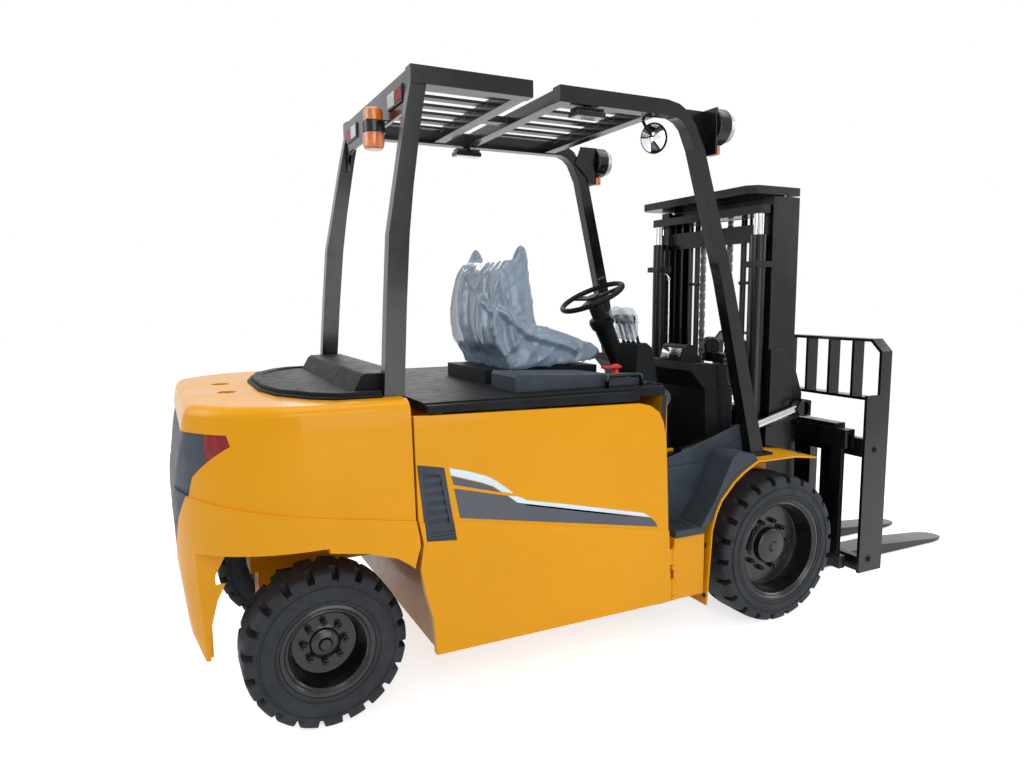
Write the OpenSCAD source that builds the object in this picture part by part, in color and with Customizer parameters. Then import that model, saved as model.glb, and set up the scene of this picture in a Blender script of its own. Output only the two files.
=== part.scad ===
// Battery-electric counterbalance forklift truck with a three-stage mast.
// Stations along x are counted from the rear axle; the whole truck is then
// moved so that the origin is on the floor under the middle of its footprint.

/* [Main sizes] */
// Distance between the two axles
wheelbase = 2130; // [1900:10:2300]
// Overall width over the side panels
body_w = 1400; // [1300:2:1500]
// Floor to the top of the overhead guard
guard_top = 2403; // [2300:1:2500]
// Rear axle to the back of the counterweight
rear_reach = 485; // [450:1:560]

/* [Wheels] */
// Front tyre outer radius
front_r = 355; // [320:1:360]
// Front tyre width
front_w = 228; // [200:1:232]
// Rear tyre outer radius
rear_r = 296; // [270:1:300]
// Rear tyre width
rear_w = 214; // [190:1:216]
// Kingpin to the middle of the rear wheel
king_off = 165; // [160:1:175]

/* [Body] */
// Top of the counterweight
cw_top = 1200; // [1150:1:1230]
// Corner radius of the counterweight in plan
cw_corner = 450; // [380:5:470]
// Thickness of a side panel
panel_t = 28; // [20:1:32]
// Operator floor height
floor_z = 775; // [740:1:790]
// Step height
step_z = 535; // [500:1:560]
// Fender plate thickness
fender_t = 8; // [5:1:12]

/* [Mast and forks] */
// Half width of the outer mast
mast_hw = 440; // [430:1:445]
// Depth of the outer mast rail
mast_d = 174; // [168:1:184]
// Height of the lowered mast
mast_h = 2090; // [2000:1:2110]
// Front axle to the back of the mast rails
mast_gap = 132; // [125:1:150]
// Sideways offset of the fork frame, to the truck's right
shift = 75; // [0:1:75]
// Fork spacing, middle to middle
fork_pitch = 335; // [260:1:600]
// Fork width
fork_w = 150; // [120:1:160]
// Fork thickness at the heel
fork_t = 60; // [50:1:65]
// Fork blade length from its front face
fork_l = 1190; // [1000:5:1400]
// Half width of the load backrest
rest_hw = 620; // [560:1:620]
// Top of the load backrest
rest_top = 1340; // [1250:1:1400]

/* [Hidden] */
$fn = 48;

yellow = [0.96, 0.68, 0.02];
black = [0.09, 0.09, 0.1];
grey = [0.2, 0.23, 0.27];
steel = [0.7, 0.72, 0.74];
rubber = [0.13, 0.14, 0.16];
film = [0.5, 0.57, 0.64];
red = [0.7, 0.05, 0.05];
amber = [1, 0.55, 0.05];

hw = body_w / 2;
fx = wheelbase;
fz = front_r;
rz = rear_r;
front_y = hw - 6 - front_w / 2;
rear_y = 627 - rear_w / 2;
king_y = rear_y - king_off;
mx0 = fx + mast_gap;
mx1 = mx0 + mast_d;
// carriage bar, fork bar and fork stations
cb0 = mx1 + 164;
cb1 = cb0 + 68;
fb0 = cb1 + 10;
fb1 = fb0 + 44;
ff0 = fb1 + 0.3;
ff1 = ff0 + fork_t;
tip_x = ff1 + fork_l;
lb0 = fb1 + 48;
lb1 = lb0 + 76;
ox = (tip_x - rear_reach) / 2;
// tilt cylinder: rear pin, front pin, side distance
tp0 = [fx - 490, 805];
tp1 = [fx + 310, 990];
tilt_y = 482;
tilt_a = atan2(tp1[1] - tp0[1], tp1[0] - tp0[0]);
tilt_l = sqrt(pow(tp1[0] - tp0[0], 2) + pow(tp1[1] - tp0[1], 2));
// door hinge axis
hinge = [1490, hw - 12];
// steering column: hub point and lean
hub = [1500, 0, 1550];
lean = 25.4;
// hood hinge
hood_x = 352;
hood_z = 1166;
// running gap of a pin, rod or runner
run = 0.25;
// frame side plates between the mast and the front wheels
fp0 = mast_hw + 6;
fp1 = fp0 + 14;

module at_site() { translate([-ox, 0, 0]) children(); }
module bx(x0, x1, y0, y1, z0, z1) { translate([x0, y0, z0]) cube([x1 - x0, y1 - y0, z1 - z0]); }
module both() {
  children();
  mirror([0, 1, 0]) children();
}
module ycyl(x, y0, y1, z, r) { translate([x, y0, z]) rotate([-90, 0, 0]) cylinder(h = y1 - y0, r = r); }
module xcyl(x0, x1, y, z, r) { translate([x0, y, z]) rotate([0, 90, 0]) cylinder(h = x1 - x0, r = r); }
module zcyl(x, y, z0, z1, r) { translate([x, y, z0]) cylinder(h = z1 - z0, r = r); }
// side profile in x and z, from y0 to y1
module slab(pts, y0, y1) { translate([0, y1, 0]) rotate([90, 0, 0]) linear_extrude(y1 - y0) polygon(pts); }
// front profile in y and z, from x0 to x1
module wall(pts, x0, x1) { translate([x0, 0, 0]) rotate([90, 0, 90]) linear_extrude(x1 - x0) polygon(pts); }
// plan profile in x and y, from z0 to z1
module plan(pts, z0, z1) { translate([0, 0, z0]) linear_extrude(z1 - z0) polygon(pts); }
module rounded_plan(x0, x1, hy, r, z0, z1) {
  translate([0, 0, z0]) linear_extrude(z1 - z0) union() {
    translate([x0 + r, -hy]) square([x1 - x0 - 2 * r, 2 * hy]);
    translate([x0, -hy + r]) square([x1 - x0, 2 * hy - 2 * r]);
    for (x = [x0 + r, x1 - r], y = [-hy + r, hy - r]) translate([x, y]) circle(r);
  }
}

// counterweight
// outline by distance from the corner centre lines: step at the waist, rounded upper edge
cw_cx = cw_corner - rear_reach;
cw_cy = hw - cw_corner;
cw_profile = [[0, 300], [cw_corner, 300], [cw_corner, 755], [cw_corner - 6, 762],
  [cw_corner - 10, cw_top - 45], [cw_corner - 16, cw_top - 22], [cw_corner - 30, cw_top - 8],
  [cw_corner - 52, cw_top], [0, cw_top]];
cw_side = [[-408, cw_top], [-426, 1170], [-458, 1019], [-485, 830], [-485, 750], [-470, 610],
  [-443, 394], [-405, 300], [-300, 300], [303, 300], [303, 577], [330, 666], [314, 755],
  [304, 1140], [300, cw_top]];
arch = [[-412, 0], [-412, 480], [-375, 600], [-310, 685], [0, 685], [135, 662], [243, 626],
  [303, 582], [340, 500], [340, 0]];
panel_shape = [[-430, 1085], [430, 1085], [400, 900], [250, 700], [230, 640], [-230, 640],
  [-250, 700], [-400, 900]];
module cw_round() {
  for (s = [1, -1]) translate([cw_cx, s * cw_cy, 0]) {
    rotate([0, 0, s > 0 ? 90 : 180]) rotate_extrude(angle = 90, $fn = 72) polygon(cw_profile);
  }
  both() translate([cw_cx, cw_cy, 0]) rotate([90, 0, 90]) linear_extrude(345 - cw_cx) polygon(cw_profile);
  slab([for (p = cw_profile) [cw_cx - p[0], p[1]]], -cw_cy, cw_cy);
  bx(cw_cx, 345, -cw_cy, cw_cy, 300, cw_top);
}
module cw_shape() {
  intersection() {
    cw_round();
    slab(cw_side, -hw - 5, hw + 5);
  }
}
module tow_boss() { bx(-440, -335, -70, 70, 330, 600); }
module counterweight() {
  color(yellow) difference() {
    union() {
      difference() {
        cw_shape();
        slab(arch, -hw - 9, hw + 9);
      }
      tow_boss();
    }
    wall(panel_shape, -520, -432);
    bx(-520, -378, -48, 48, 395, 455);
    bx(-520, -378, -48, 48, 530, 601);
    zcyl(-415, 0, 320, 601, 16);
    both() zcyl(-330, 300, cw_top - 120, cw_top + 5, 24);
  }
}
module rear_panel() {
  color(grey) difference() {
    intersection() {
      translate([9, 0, 0]) cw_shape();
      wall(panel_shape, -520, -432);
    }
    for (k = [0:3]) bx(-520, -420, -190, 190, 662 + 30 * k, 674 + 30 * k);
  }
}
module tow_pin() {
  color(black) {
    zcyl(-415, 0, 335, 545, 16);
    bx(-440, -390, -40, 40, 545, 560);
  }
}
module deck_tray() {
  color(black) {
    difference() {
      rounded_plan(-120, 232, 515, 60, cw_top, cw_top + 24);
      rounded_plan(-100, 170, 495, 45, cw_top + 10, cw_top + 30);
    }
    bx(190, 232, -430, 430, cw_top + 24, cw_top + 80);
  }
}

// frame
module frame() {
  color(yellow) difference() {
    union() {
      bx(418, 1480, -645, 645, 200, 240);
      bx(418, 442, -645, 645, 200, 1139.7);
      bx(1440, 1470, -650, 650, 200, 1139.7);
      both() bx(1470, fx + 120, fp0, fp1, 210, 720);
      bx(1470, 2010, -fp0, fp0, 690, 720);
      both() bx(1470, 1500, fp0, 640, 210, 720);
      both() bx(1500, 1668, 674, 682, 222, step_z - 30);
      both() bx(1500, 1520, fp0, 674, 222, step_z - 30);
      both() bx(tp0[0] - 45, tp0[0] + 20, fp0, fp1, 700, 850);
      // hood hinge
      for (y = [-420, -340, 300, 380]) {
        bx(hood_x - 12, 430, y, y + 40, 1095, 1132);
        bx(hood_x - 12, hood_x + 8, y, y + 40, 1095, hood_z);
        ycyl(hood_x, y, y + 40, hood_z, 12);
      }
      ycyl(hood_x, -400, 400, hood_z, 7 - run);
      // rear spine with the two blocks that carry the steer axle
      bx(-200, 442, -70, 70, 430, 560);
      bx(-200, 0, -70, 70, 540, 685);
      bx(-170, -100, -70, 70, 230, 440);
      bx(100, 170, -70, 70, 230, 440);
      both() ycyl(tp0[0], fp1 - 2, 505, tp0[1], 20 - run);
      // hinge lugs of the side door
      for (z = [250, 390]) {
        translate([0, -hinge[1], 0]) bx(hinge[0], hinge[0] + 22, 0, 16, z - 22, z - 2);
        zcyl(hinge[0], -hinge[1], z - 22, z + 76, 7 - run);
        zcyl(hinge[0], -hinge[1], z - 22, z - 2, 11);
      }
      translate([0, -hinge[1] + 8, 0]) bx(hinge[0] + 9, hinge[0] + 25, 0, 30, 222, 470);
    }
    xcyl(-180, 180, 0, rz, 30);
    ycyl(fx, -fp1 - 5, fp1 + 5, fz, 70);
  }
}
module battery() { color(grey) bx(470, 1400, -510, 510, 240, 1020); }

// side panels: upper skin set in a little above the crease line
panel_line = [[1476, 228], [1458, 531], [1444, 821], [1437, 950], [1420, 1030], [1397, 1074],
  [1350, 1105], [1298, 1118], [312, 1138], [322, 755], [340, 666], [326, 570], [344, 475],
  [371, 374], [383, 228]];
crease = [[250, 754], [478, 734], [1500, 543], [1500, 100], [250, 100]];
vent_hole = [[322, 960], [425, 940], [470, 660], [352, 672]];
module panel_skin() {
  slab(panel_line, -hw + 6, -hw + panel_t);
  intersection() {
    slab(panel_line, -hw, -hw + panel_t);
    slab(crease, -hw - 1, -hw + panel_t);
  }
}
module panel_body() {
  difference() {
    panel_skin();
    slab(vent_hole, -hw - 2, -hw + 18);
  }
}
module side_door() {
  color(yellow) difference() {
    union() {
      panel_body();
      for (z = [250, 390]) {
        zcyl(hinge[0], -hinge[1], z, z + 70, 11);
        bx(1440, hinge[0] - 4, -hinge[1] - 4, -hinge[1] + 8, z, z + 70);
      }
    }
    for (z = [250, 390]) zcyl(hinge[0], -hinge[1], z - 5, z + 80, 7);
  }
}
module side_panel_left() {
  color(yellow) mirror([0, 1, 0]) {
    panel_body();
    bx(430, 441.9, -hw + panel_t, -645, 300, 1000);
    bx(1442, 1468, -hw + panel_t, -650, 300, 1000);
  }
}
module vent_shape() {
  difference() {
    slab(vent_hole, -hw + 8, -hw + 18);
    for (k = [0:6]) translate([0, 0, 700 + 34 * k]) bx(360, 420, -hw, -hw + 14, 0, 12);
  }
}
module door_vent() { color(grey) vent_shape(); }
module panel_vent() { color(grey) mirror([0, 1, 0]) vent_shape(); }

// fenders: bent plate over the front wheels
fen = [[1673, 167], [1695, 518], [1720, 595], [1749, 649], [1822, 724], [1880, 765], [1960, 805],
  [2200, 805], [2343, 786]];
function inward(p, t) = let (d = [p[0] - fx, p[1] - fz], l = sqrt(d[0] * d[0] + d[1] * d[1]))
  [p[0] - d[0] / l * t, p[1] - d[1] / l * t];
module fenders() {
  n = len(fen);
  ring = concat(fen, [for (k = [n - 1:-1:0]) inward(fen[k], fender_t)]);
  color(yellow) both() {
    slab(ring, fp1, hw);
  }
}
module steps() {
  color(grey) both() {
    bx(1500, 1668, fp1, 690, step_z - 30, step_z);
    difference() {
      slab([[1640, step_z], [1668, step_z], [1740, 700], [1830, 780], [1925, 812], [1950, 830],
        [1880, 822], [1790, 780], [1700, 690]], 560, 690);
      n = len(fen);
      slab(concat(fen, [[2343, 0], [1673, 0]]), 400, hw + 10);
    }
  }
}
module floor_plate() {
  color(black) {
    bx(1480, 1990, -428, 428, floor_z - 15, floor_z);
    both() bx(1480, 1990, 380, 400, 720, floor_z - 15);
  }
}
module cowl() {
  color(black) difference() {
    slab([[1890, floor_z], [1990, floor_z], [1985, 1000], [1950, 1232], [1800, 1240],
      [1785, 1205], [1872, 1110], [1885, 900]], -425, 425);
    col_axis() translate([0, 0, 40]) cylinder(h = 900, r = 38 + run);
  }
}

// steering
module col_axis() { translate(hub) rotate([0, 180 - lean, 0]) children(); }
module steering_column() {
  color(black) difference() {
    union() {
      col_axis() translate([0, 0, 40]) cylinder(h = 900, r = 38);
      col_axis() cylinder(h = 60, r = 15 - run);
    }
    bx(1400, 2300, -200, 200, 0, floor_z);
  }
}
module steering_wheel() {
  color(black) col_axis() {
    difference() {
      union() {
        translate([0, 0, -8]) rotate_extrude() translate([160, 0]) circle(13, $fn = 20);
        translate([0, 0, -14]) cylinder(h = 44, r = 34);
        for (a = [90, 210, 330]) rotate([0, 0, a]) translate([20, -16, -6]) cube([132, 32, 12]);
        rotate([0, 0, 150]) translate([160, 0, -52]) cylinder(h = 44, r = 20);
      }
      translate([0, 0, -5]) cylinder(h = 60, r = 15);
    }
  }
}
module controls() {
  color(black) {
    bx(1490, 1590, -370, -210, floor_z, 1190);
    for (k = [0:3]) {
      translate([1530, -350 + 40 * k, 1190]) rotate([0, -10, 0]) {
        cylinder(h = 190, r = 8);
        translate([0, 0, 190]) cylinder(h = 60, r = 16);
      }
    }
    for (y = [-170, 60]) {
      translate([1780, y, floor_z]) bx(0, 90, 0, 90, 0, 45);
    }
  }
}

// hood with the seat on it
module hood() {
  color(black) difference() {
    union() {
      bx(hood_x + 14, 1455, -655, 655, 1140, 1178);
      for (y = [-379.7, 340.3]) {
        ycyl(hood_x, y, y + 39.4, hood_z, 12);
        bx(hood_x, hood_x + 20, y, y + 39.4, hood_z - 10, hood_z + 10);
      }
      bx(800, 1380, -230, 230, 1178, 1240);
    }
    ycyl(hood_x, -400, 400, hood_z, 7);
  }
}
module side_console() {
  color(grey) {
    slab([[790, 1178], [1450, 1178], [1450, 1196], [1380, 1225], [820, 1240], [800, 1232]], -560, -330);
    both_bars();
  }
}
module both_bars() {
  for (x = [1235, 1405]) zcyl(x, -520, 1190, 1255, 9);
  xcyl(1235 - 9, 1405 + 9, -520, 1255, 9);
}
module seat() {
  color(film) {
    slab([[905, 1240], [1430, 1240], [1465, 1275], [1465, 1335], [1420, 1372], [1080, 1362],
      [905, 1350]], -262, 262);
    slab([[862, 1350.3], [905, 1350.3], [1060, 1361], [1075, 1375], [1060, 1560], [1030, 1740],
      [1000, 1785], [940, 1790], [905, 1760], [870, 1560]], -255, 255);
  }
}

// axles and wheels
module drive_axle() {
  color(black) {
    difference() {
      union() {
        ycyl(fx, -fp1, fp1, fz, 70);
        translate([fx, 0, fz]) sphere(128);
      }
      bx(fx - 200, fx - 118, -200, 200, 0, 700);
    }
    both() ycyl(fx, fp1 - 5, front_y + 40, fz, 40);
  }
}
module steer_axle() {
  color(black) difference() {
    union() {
      bx(-48, 48, -king_y + 30, king_y - 30, rz - 62, rz + 62);
      both() for (z = [rz - 95, rz + 70]) {
        zcyl(0, king_y, z, z + 25, 46);
        bx(-46, 46, king_y - 130, king_y, z, z + 25);
      }
      bx(-48, 48, -king_y + 60, king_y - 60, rz - 95, rz + 95);
      xcyl(-170, 170, 0, rz, 30);
    }
    both() zcyl(0, king_y, rz - 100, rz + 100, 18 + run);
    both() zcyl(0, king_y, rz - 70, rz + 70, 52);
  }
}
module knuckle_shape() {
  color(black) {
    zcyl(0, -king_y, rz - 95, rz + 95, 18);
    zcyl(0, -king_y, rz - 64, rz + 64, 44);
    ycyl(0, -rear_y - 20, -king_y, rz, 30);
  }
}
module knuckle_right() { knuckle_shape(); }
module knuckle_left() { mirror([0, 1, 0]) knuckle_shape(); }

module tyre(r, w, rim) {
  color(rubber) rotate([90, 0, 0]) rotate_extrude($fn = 60) polygon([[rim, -w / 2 + 14],
    [rim + 30, -w / 2 + 4], [rim + 60, -w / 2], [r - 34, -w / 2 + 6], [r - 10, -w / 2 + 20],
    [r, -w / 2 + 44], [r, w / 2 - 44], [r - 10, w / 2 - 20], [r - 34, w / 2 - 6],
    [rim + 60, w / 2], [rim + 30, w / 2 - 4], [rim, w / 2 - 14]]);
}
// outer side of the wheel towards minus y
module rim(r, w, bore, dish, nuts) {
  color(black) rotate([90, 0, 0]) difference() {
    union() {
      rotate_extrude($fn = 60) polygon([[r - 18, -w / 2 + 14], [r, -w / 2 + 14], [r, w / 2 - 14],
        [r - 18, w / 2 - 14], [r - 24, dish + 24], [bore + 60, dish + 24], [bore + 50, dish + 60],
        [bore, dish + 60], [bore, dish - 30], [bore + 40, dish - 30], [bore + 50, dish],
        [r - 24, dish]]);
      for (k = [0:nuts - 1]) rotate([0, 0, 360 / nuts * k]) translate([bore + 78, 0, dish + 20])
        cylinder(h = 22, r = 13, $fn = 6);
    }
  }
}
front_rim_r = 238;
rear_rim_r = 162;
module front_tyre_right() { translate([fx, -front_y, fz]) tyre(front_r, front_w, front_rim_r); }
module front_tyre_left() { translate([fx, front_y, fz]) rotate([0, 0, 180]) tyre(front_r, front_w, front_rim_r); }
module front_rim_right() { translate([fx, -front_y, fz]) rim(front_rim_r, front_w, 40 + run, -10, 10); }
module front_rim_left() { translate([fx, front_y, fz]) rotate([0, 0, 180]) rim(front_rim_r, front_w, 40 + run, -10, 10); }
module rear_tyre_right() { translate([0, -rear_y, rz]) tyre(rear_r, rear_w, rear_rim_r); }
module rear_tyre_left() { translate([0, rear_y, rz]) rotate([0, 0, 180]) tyre(rear_r, rear_w, rear_rim_r); }
module rear_rim_right() { translate([0, -rear_y, rz]) rim(rear_rim_r, rear_w, 30 + run, -10, 6); }
module rear_rim_left() { translate([0, rear_y, rz]) rotate([0, 0, 180]) rim(rear_rim_r, rear_w, 30 + run, -10, 6); }

// overhead guard
gt = guard_top;
rail_in = 460;
rail_out = 520;
splay = 3.1;
rail_front = [[1010, gt - 66], [1010, gt], [1544, gt], [1610, gt - 12], [1660, gt - 40],
  [1700, gt - 92], [1755, 2207], [1691, 2207], [1650, gt - 110], [1620, gt - 82], [1580, gt - 66]];
rail_rear = [[386, gt - 66], [386, gt], [889, gt], [889, gt - 66]];
leg_side = [[1691, 2209], [1755, 2209], [1912, 1634], [2085, 858], [2100, 790], [2018, 790],
  [2007, 865], [1845, 1633]];
module guard_leg() {
  difference() {
    union() {
      slab(rail_front, rail_in, rail_out);
      translate([0, 490, 2207]) rotate([splay, 0, 0]) translate([0, -490, -2207]) slab(leg_side, rail_in, rail_out);
      bx(1985, 2125, 535, 625, 805, 817);
    }
    bx(1900, 2200, 400, 700, 700, 805);
  }
}
module guard_rails() {
  color(black) {
    both() guard_leg();
    both() slab(rail_rear, rail_in, rail_out);
    bx(880, 1020, rail_in, rail_out, gt - 66, gt);
  }
}
pillar_side = [[236, 1150], [241, 1200], [263, 1527], [283, 1789], [315, 1963], [362, 2222],
  [386, 2337], [386, gt - 66], [448, gt - 66], [426, 2228], [384, 1967], [362, 1792], [340, 1527],
  [318, 1200], [313, 1150]];
module guard_pillars() {
  color(black) both() difference() {
    translate([0, 490, gt - 66]) rotate([3.2, 0, 0]) translate([0, -490, -gt + 66]) slab(pillar_side, 464, 516);
    bx(100, 400, 400, 700, 1000, cw_top);
    bx(300, 500, 400, 600, gt - 66, gt + 50);
  }
}
slat_y = [-325, -195, -65, 65, 195, 325];
module guard_roof() {
  color(black) {
    for (x = [386, 829, 1010, 1470]) bx(x, x + 60, -rail_in, rail_in, gt - 62, gt - 8);
    for (y = slat_y) {
      bx(440, 835, y - 25, y + 25, gt - 30, gt - 18);
      bx(1064, 1476, y - 25, y + 25, gt - 30, gt - 18);
    }
    bx(880, 1020, -30, 30, gt - 50, gt - 20);
    bx(386, 402, -rail_in, rail_in, gt - 150, gt - 58);
  }
}
module rear_lamps() {
  color(red) {
    both() intersection() {
      translate([-6, 0, 0]) cw_shape();
      difference() {
        bx(-520, -300, 470, 620, 1000, 1100);
        cw_shape();
      }
    }
    both() bx(346, 386, 300, 440, gt - 120, gt - 70);
  }
}
module front_lamps() {
  color(grey) both() {
    translate([1800, 490, 2275]) bx(-30, 60, -60, 60, -70, 60);
    difference() {
      bx(1700, 1772, 470, 510, 2255, 2275);
      slab(rail_front, rail_in, rail_out);
    }
    bx(1090, 1220, 470, 510, gt - 100, gt - 66);
  }
}
module beacon() {
  color(amber) {
    zcyl(360, -170, gt - 200, gt - 150, 42);
    bx(340, 394, -200, -140, gt - 151, gt - 150);
  }
}
module mirror_unit() {
  translate([1500, -380, gt - 150]) xcyl(0, 20, 0, 0, 70);
  bx(1500, 1512, -386, -374, gt - 90, gt - 62);
}
module mirror_arm() { color(grey) mirror_unit(); }

// mast
ch = 22;
y_out = mast_hw - 16;
y_mid = y_out - 10;
y_inn = y_mid - 24;
mast_z0 = 130;
mast_z1 = mast_h - 45;
module channel(x0, x1, yo, web, fl, tip, z0, z1) {
  plan([[x0, tip], [x0, yo], [x1, yo], [x1, tip], [x1 - fl, tip], [x1 - fl, yo - web],
    [x0 + fl, yo - web], [x0 + fl, tip]], z0, z1);
}
module mast_outer() {
  color(black) difference() {
    union() {
      both() channel(mx0, mx1, mast_hw, 16, ch, 372, mast_z0, mast_z1);
      for (z = [1830, 330]) bx(mx0 + 6, mx0 + ch, -380, 380, z, z + 90);
      // feet around the drive axle
      both() bx(fx, mx0 + 10, 378, 396, fz - 78, fz + 78);
      both() ycyl(fx, 378, 396, fz, 84);
      // cylinder seats
      both() bx(mx0 - 100, mx0, 345, mast_hw, 440, 462);
      both() bx(mx0 - 100, mx0, 345, mast_hw, 1700, 1730);
      // tilt brackets and pins
      both() slab([[mx0 + 20, 900], [mx1 + 14, 930], [mx1 + 20, 1040], [mx0 + 60, 1180], [mx0 + 20, 1180]],
        mast_hw - 2, mast_hw + 14);
      both() ycyl(tp1[0], mast_hw, 508, tp1[1], 18);
    }
    both() ycyl(fx, 370, 400, fz, 70 + run);
    both() zcyl(mx0 - 47, 395, 450, 1800, 38);
  }
}
module lift_cylinders() {
  color(black) both() difference() {
    zcyl(mx0 - 47, 395, 450, 1860, 38);
    zcyl(mx0 - 47, 395, 470, 1870, 26 + run);
  }
}
module lift_rods() {
  color(steel) both() zcyl(mx0 - 47, 395, 476, 1962, 26);
}
module mast_middle() {
  color(black) {
    both() channel(mx0 + 28, mx1 - 28, y_mid, 18, 18, 348, 150, mast_z1 - 40);
    bx(mx0 - 72, mx0 + 46, -366, 366, 1962, mast_z1 - 40);
    bx(mx0 - 72, mx0 - 7, -430, 430, 1962, mast_z1 - 40);
    bx(mx0 + 28, mx0 + 46, -360, 360, 170, 260);
    both() bx(mx0 + ch + run, mx0 + 30, 380, y_mid - 2, 155, 225);
  }
}
module mast_inner() {
  color(black) {
    both() channel(mx0 + 52, mx1 - 52, y_inn, 18, 14, 320, 150, mast_h - 40);
    bx(mx0 + 52, mx0 + 66, -330, 330, 160, 215);
    both() bx(mx0 + 46 + run, mx0 + 54, 355, y_inn - 2, 155, 225);
    bx(mx0 + 52, mx0 + 66, -330, 330, 1960, mast_h - 40);
    bx(mx0 + 60, mx1 - 10, -80, 80, 180, 215);
    difference() {
      bx(mx0 - 155, mx1 - 10, -450, 450, mast_h - 40, mast_h);
      for (s = [1, -1]) translate([mx0 - 155, s * 450, 0]) rotate([0, 0, 45]) bx(-30, 30, -30, 30, 2000, 2200);
    }
  }
}
module free_cylinder() {
  color(black) difference() {
    zcyl(mx0 + 108, 0, 215, 1160, 52);
    zcyl(mx0 + 108, 0, 250, 1170, 36 + run);
  }
}
module crosshead() {
  color(black) {
    zcyl(mx0 + 108, 0, 260, 1195, 36);
    bx(mx0 + 73, mx0 + 143, -150, 150, 1190, 1240);
    for (y = [-115, 115]) ycyl(mx0 + 108, y - 25, y + 25, 1270, 50);
  }
}
module carriage() {
  color(black) {
    both() {
      bx(mx0 + 72, cb0 + 10, 288, 312, 160, 860);
      for (z = [260, 760]) ycyl((mx0 + mx1) / 2, 312, 364, z, (mast_d - 132) / 2 - run);
    }
    difference() {
      bx(cb0, cb1, -640, 640, 790, 885);
      bx(cb0 + 20, cb1 - 20, -650, 650, 780, 860);
    }
    bx(cb0, cb0 + 40, -640, 640, 160, 225);
    both() bx(cb0, cb0 + 26, 560, 620, 200, 800);
    bx(mx1 - 10, mx1 + 20, -300, 300, 620, 700);
  }
}

// fork frame, backrest and forks, moved over to the truck's right
module shifted() { translate([0, -shift, 0]) children(); }
module fork_frame() {
  color(black) shifted() {
    bx(fb0, fb1, -604, 604, 745, 840);
    bx(fb0, fb1, -604, 604, 150, 225);
    for (y = [-470, -60, 340]) bx(fb0, fb1 - 14, y, y + 120, 200, 760);
    bx(cb0 + 30, fb1 - 20, -480, 480, 885 + run, 905);
    bx(fb0, fb1 - 20, -480, 480, 830, 905);
  }
}
bar_gap = rest_hw / 4.15;
module load_backrest() {
  color(black) shifted() {
    both() {
      bx(fb0, lb0 + 4, rest_hw - 16, rest_hw, 140, 1060);
      bx(lb0, lb1, rest_hw - 16, rest_hw, 140, rest_top - 60);
    }
    bx(lb0, lb1, -rest_hw + 16, rest_hw - 16, 1022, 1038);
    bx(lb0, lb1, -rest_hw + 60, rest_hw - 60, rest_top - 16, rest_top);
    both() wall([[rest_hw - 61, rest_top], [rest_hw, rest_top - 61], [rest_hw - 16, rest_top - 68],
      [rest_hw - 68, rest_top - 16]], lb0, lb1);
    for (k = [-3:3]) bx(lb0, lb1, k * bar_gap - 8, k * bar_gap + 8, 1030, rest_top - 8);
  }
}
module fork_shape() {
  w = fork_w / 2;
  intersection() {
    union() {
      slab([[ff0, 10], [tip_x - 60, 10], [tip_x, 13], [tip_x, 22], [ff1 + 0.5 * fork_l, 10 + fork_t],
        [ff1 + 45, 10 + fork_t], [ff1 + 16, 20 + fork_t], [ff1, 48 + fork_t], [ff1, 880], [ff0, 880]], -w, w);
      bx(fb1 - 10, ff0 + 5, -w, w, 840.3, 880);
    }
    plan([[fb0 - 60, -w], [tip_x - 130, -w], [tip_x - 60, -w + 10], [tip_x - 18, -w + 30],
      [tip_x, -w + 52], [tip_x, w - 52], [tip_x - 18, w - 30], [tip_x - 60, w - 10],
      [tip_x - 130, w], [fb0 - 60, w]], 0, 900);
  }
}
module fork_right() { color(black) shifted() translate([0, -fork_pitch / 2, 0]) fork_shape(); }
module fork_left() { color(black) shifted() translate([0, fork_pitch / 2, 0]) fork_shape(); }

// tilt cylinders
module on_tilt() { both() translate([tp0[0], tilt_y, tp0[1]]) rotate([0, -tilt_a, 0]) children(); }
module tilt_barrels() {
  color(black) on_tilt() difference() {
    union() {
      translate([0, 18, 0]) rotate([90, 0, 0]) cylinder(h = 36, r = 36);
      xcyl(20, 46, 0, 0, 17);
      xcyl(44, 470, 0, 0, 40);
    }
    rotate([90, 0, 0]) cylinder(h = 90, r = 20, center = true);
    xcyl(70, 480, 0, 0, 22 + run);
  }
}
module tilt_rods() {
  color(steel) on_tilt() difference() {
    union() {
      xcyl(200, tilt_l - 20, 0, 0, 22);
      translate([tilt_l, 18, 0]) rotate([90, 0, 0]) cylinder(h = 36, r = 34);
    }
    translate([tilt_l, 0, 0]) rotate([90, 0, 0]) cylinder(h = 90, r = 20, center = true);
  }
}

at_site() frame();
at_site() battery();
at_site() counterweight();
at_site() rear_panel();
at_site() tow_pin();
at_site() deck_tray();
at_site() side_panel_left();
at_site() side_door();
at_site() door_vent();
at_site() panel_vent();
at_site() fenders();
at_site() steps();
at_site() floor_plate();
at_site() cowl();
at_site() steering_column();
at_site() steering_wheel();
at_site() controls();
at_site() hood();
at_site() side_console();
at_site() seat();
at_site() drive_axle();
at_site() steer_axle();
at_site() knuckle_right();
at_site() knuckle_left();
at_site() front_tyre_right();
at_site() front_tyre_left();
at_site() front_rim_right();
at_site() front_rim_left();
at_site() rear_tyre_right();
at_site() rear_tyre_left();
at_site() rear_rim_right();
at_site() rear_rim_left();
at_site() guard_rails();
at_site() guard_pillars();
at_site() guard_roof();
at_site() rear_lamps();
at_site() front_lamps();
at_site() beacon();
at_site() mirror_arm();
at_site() mast_outer();
at_site() lift_cylinders();
at_site() mast_middle();
at_site() lift_rods();
at_site() mast_inner();
at_site() free_cylinder();
at_site() crosshead();
at_site() carriage();
at_site() fork_frame();
at_site() load_backrest();
at_site() fork_right();
at_site() fork_left();
at_site() tilt_barrels();
at_site() tilt_rods();
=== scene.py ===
import math
from contextlib import contextmanager

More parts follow.
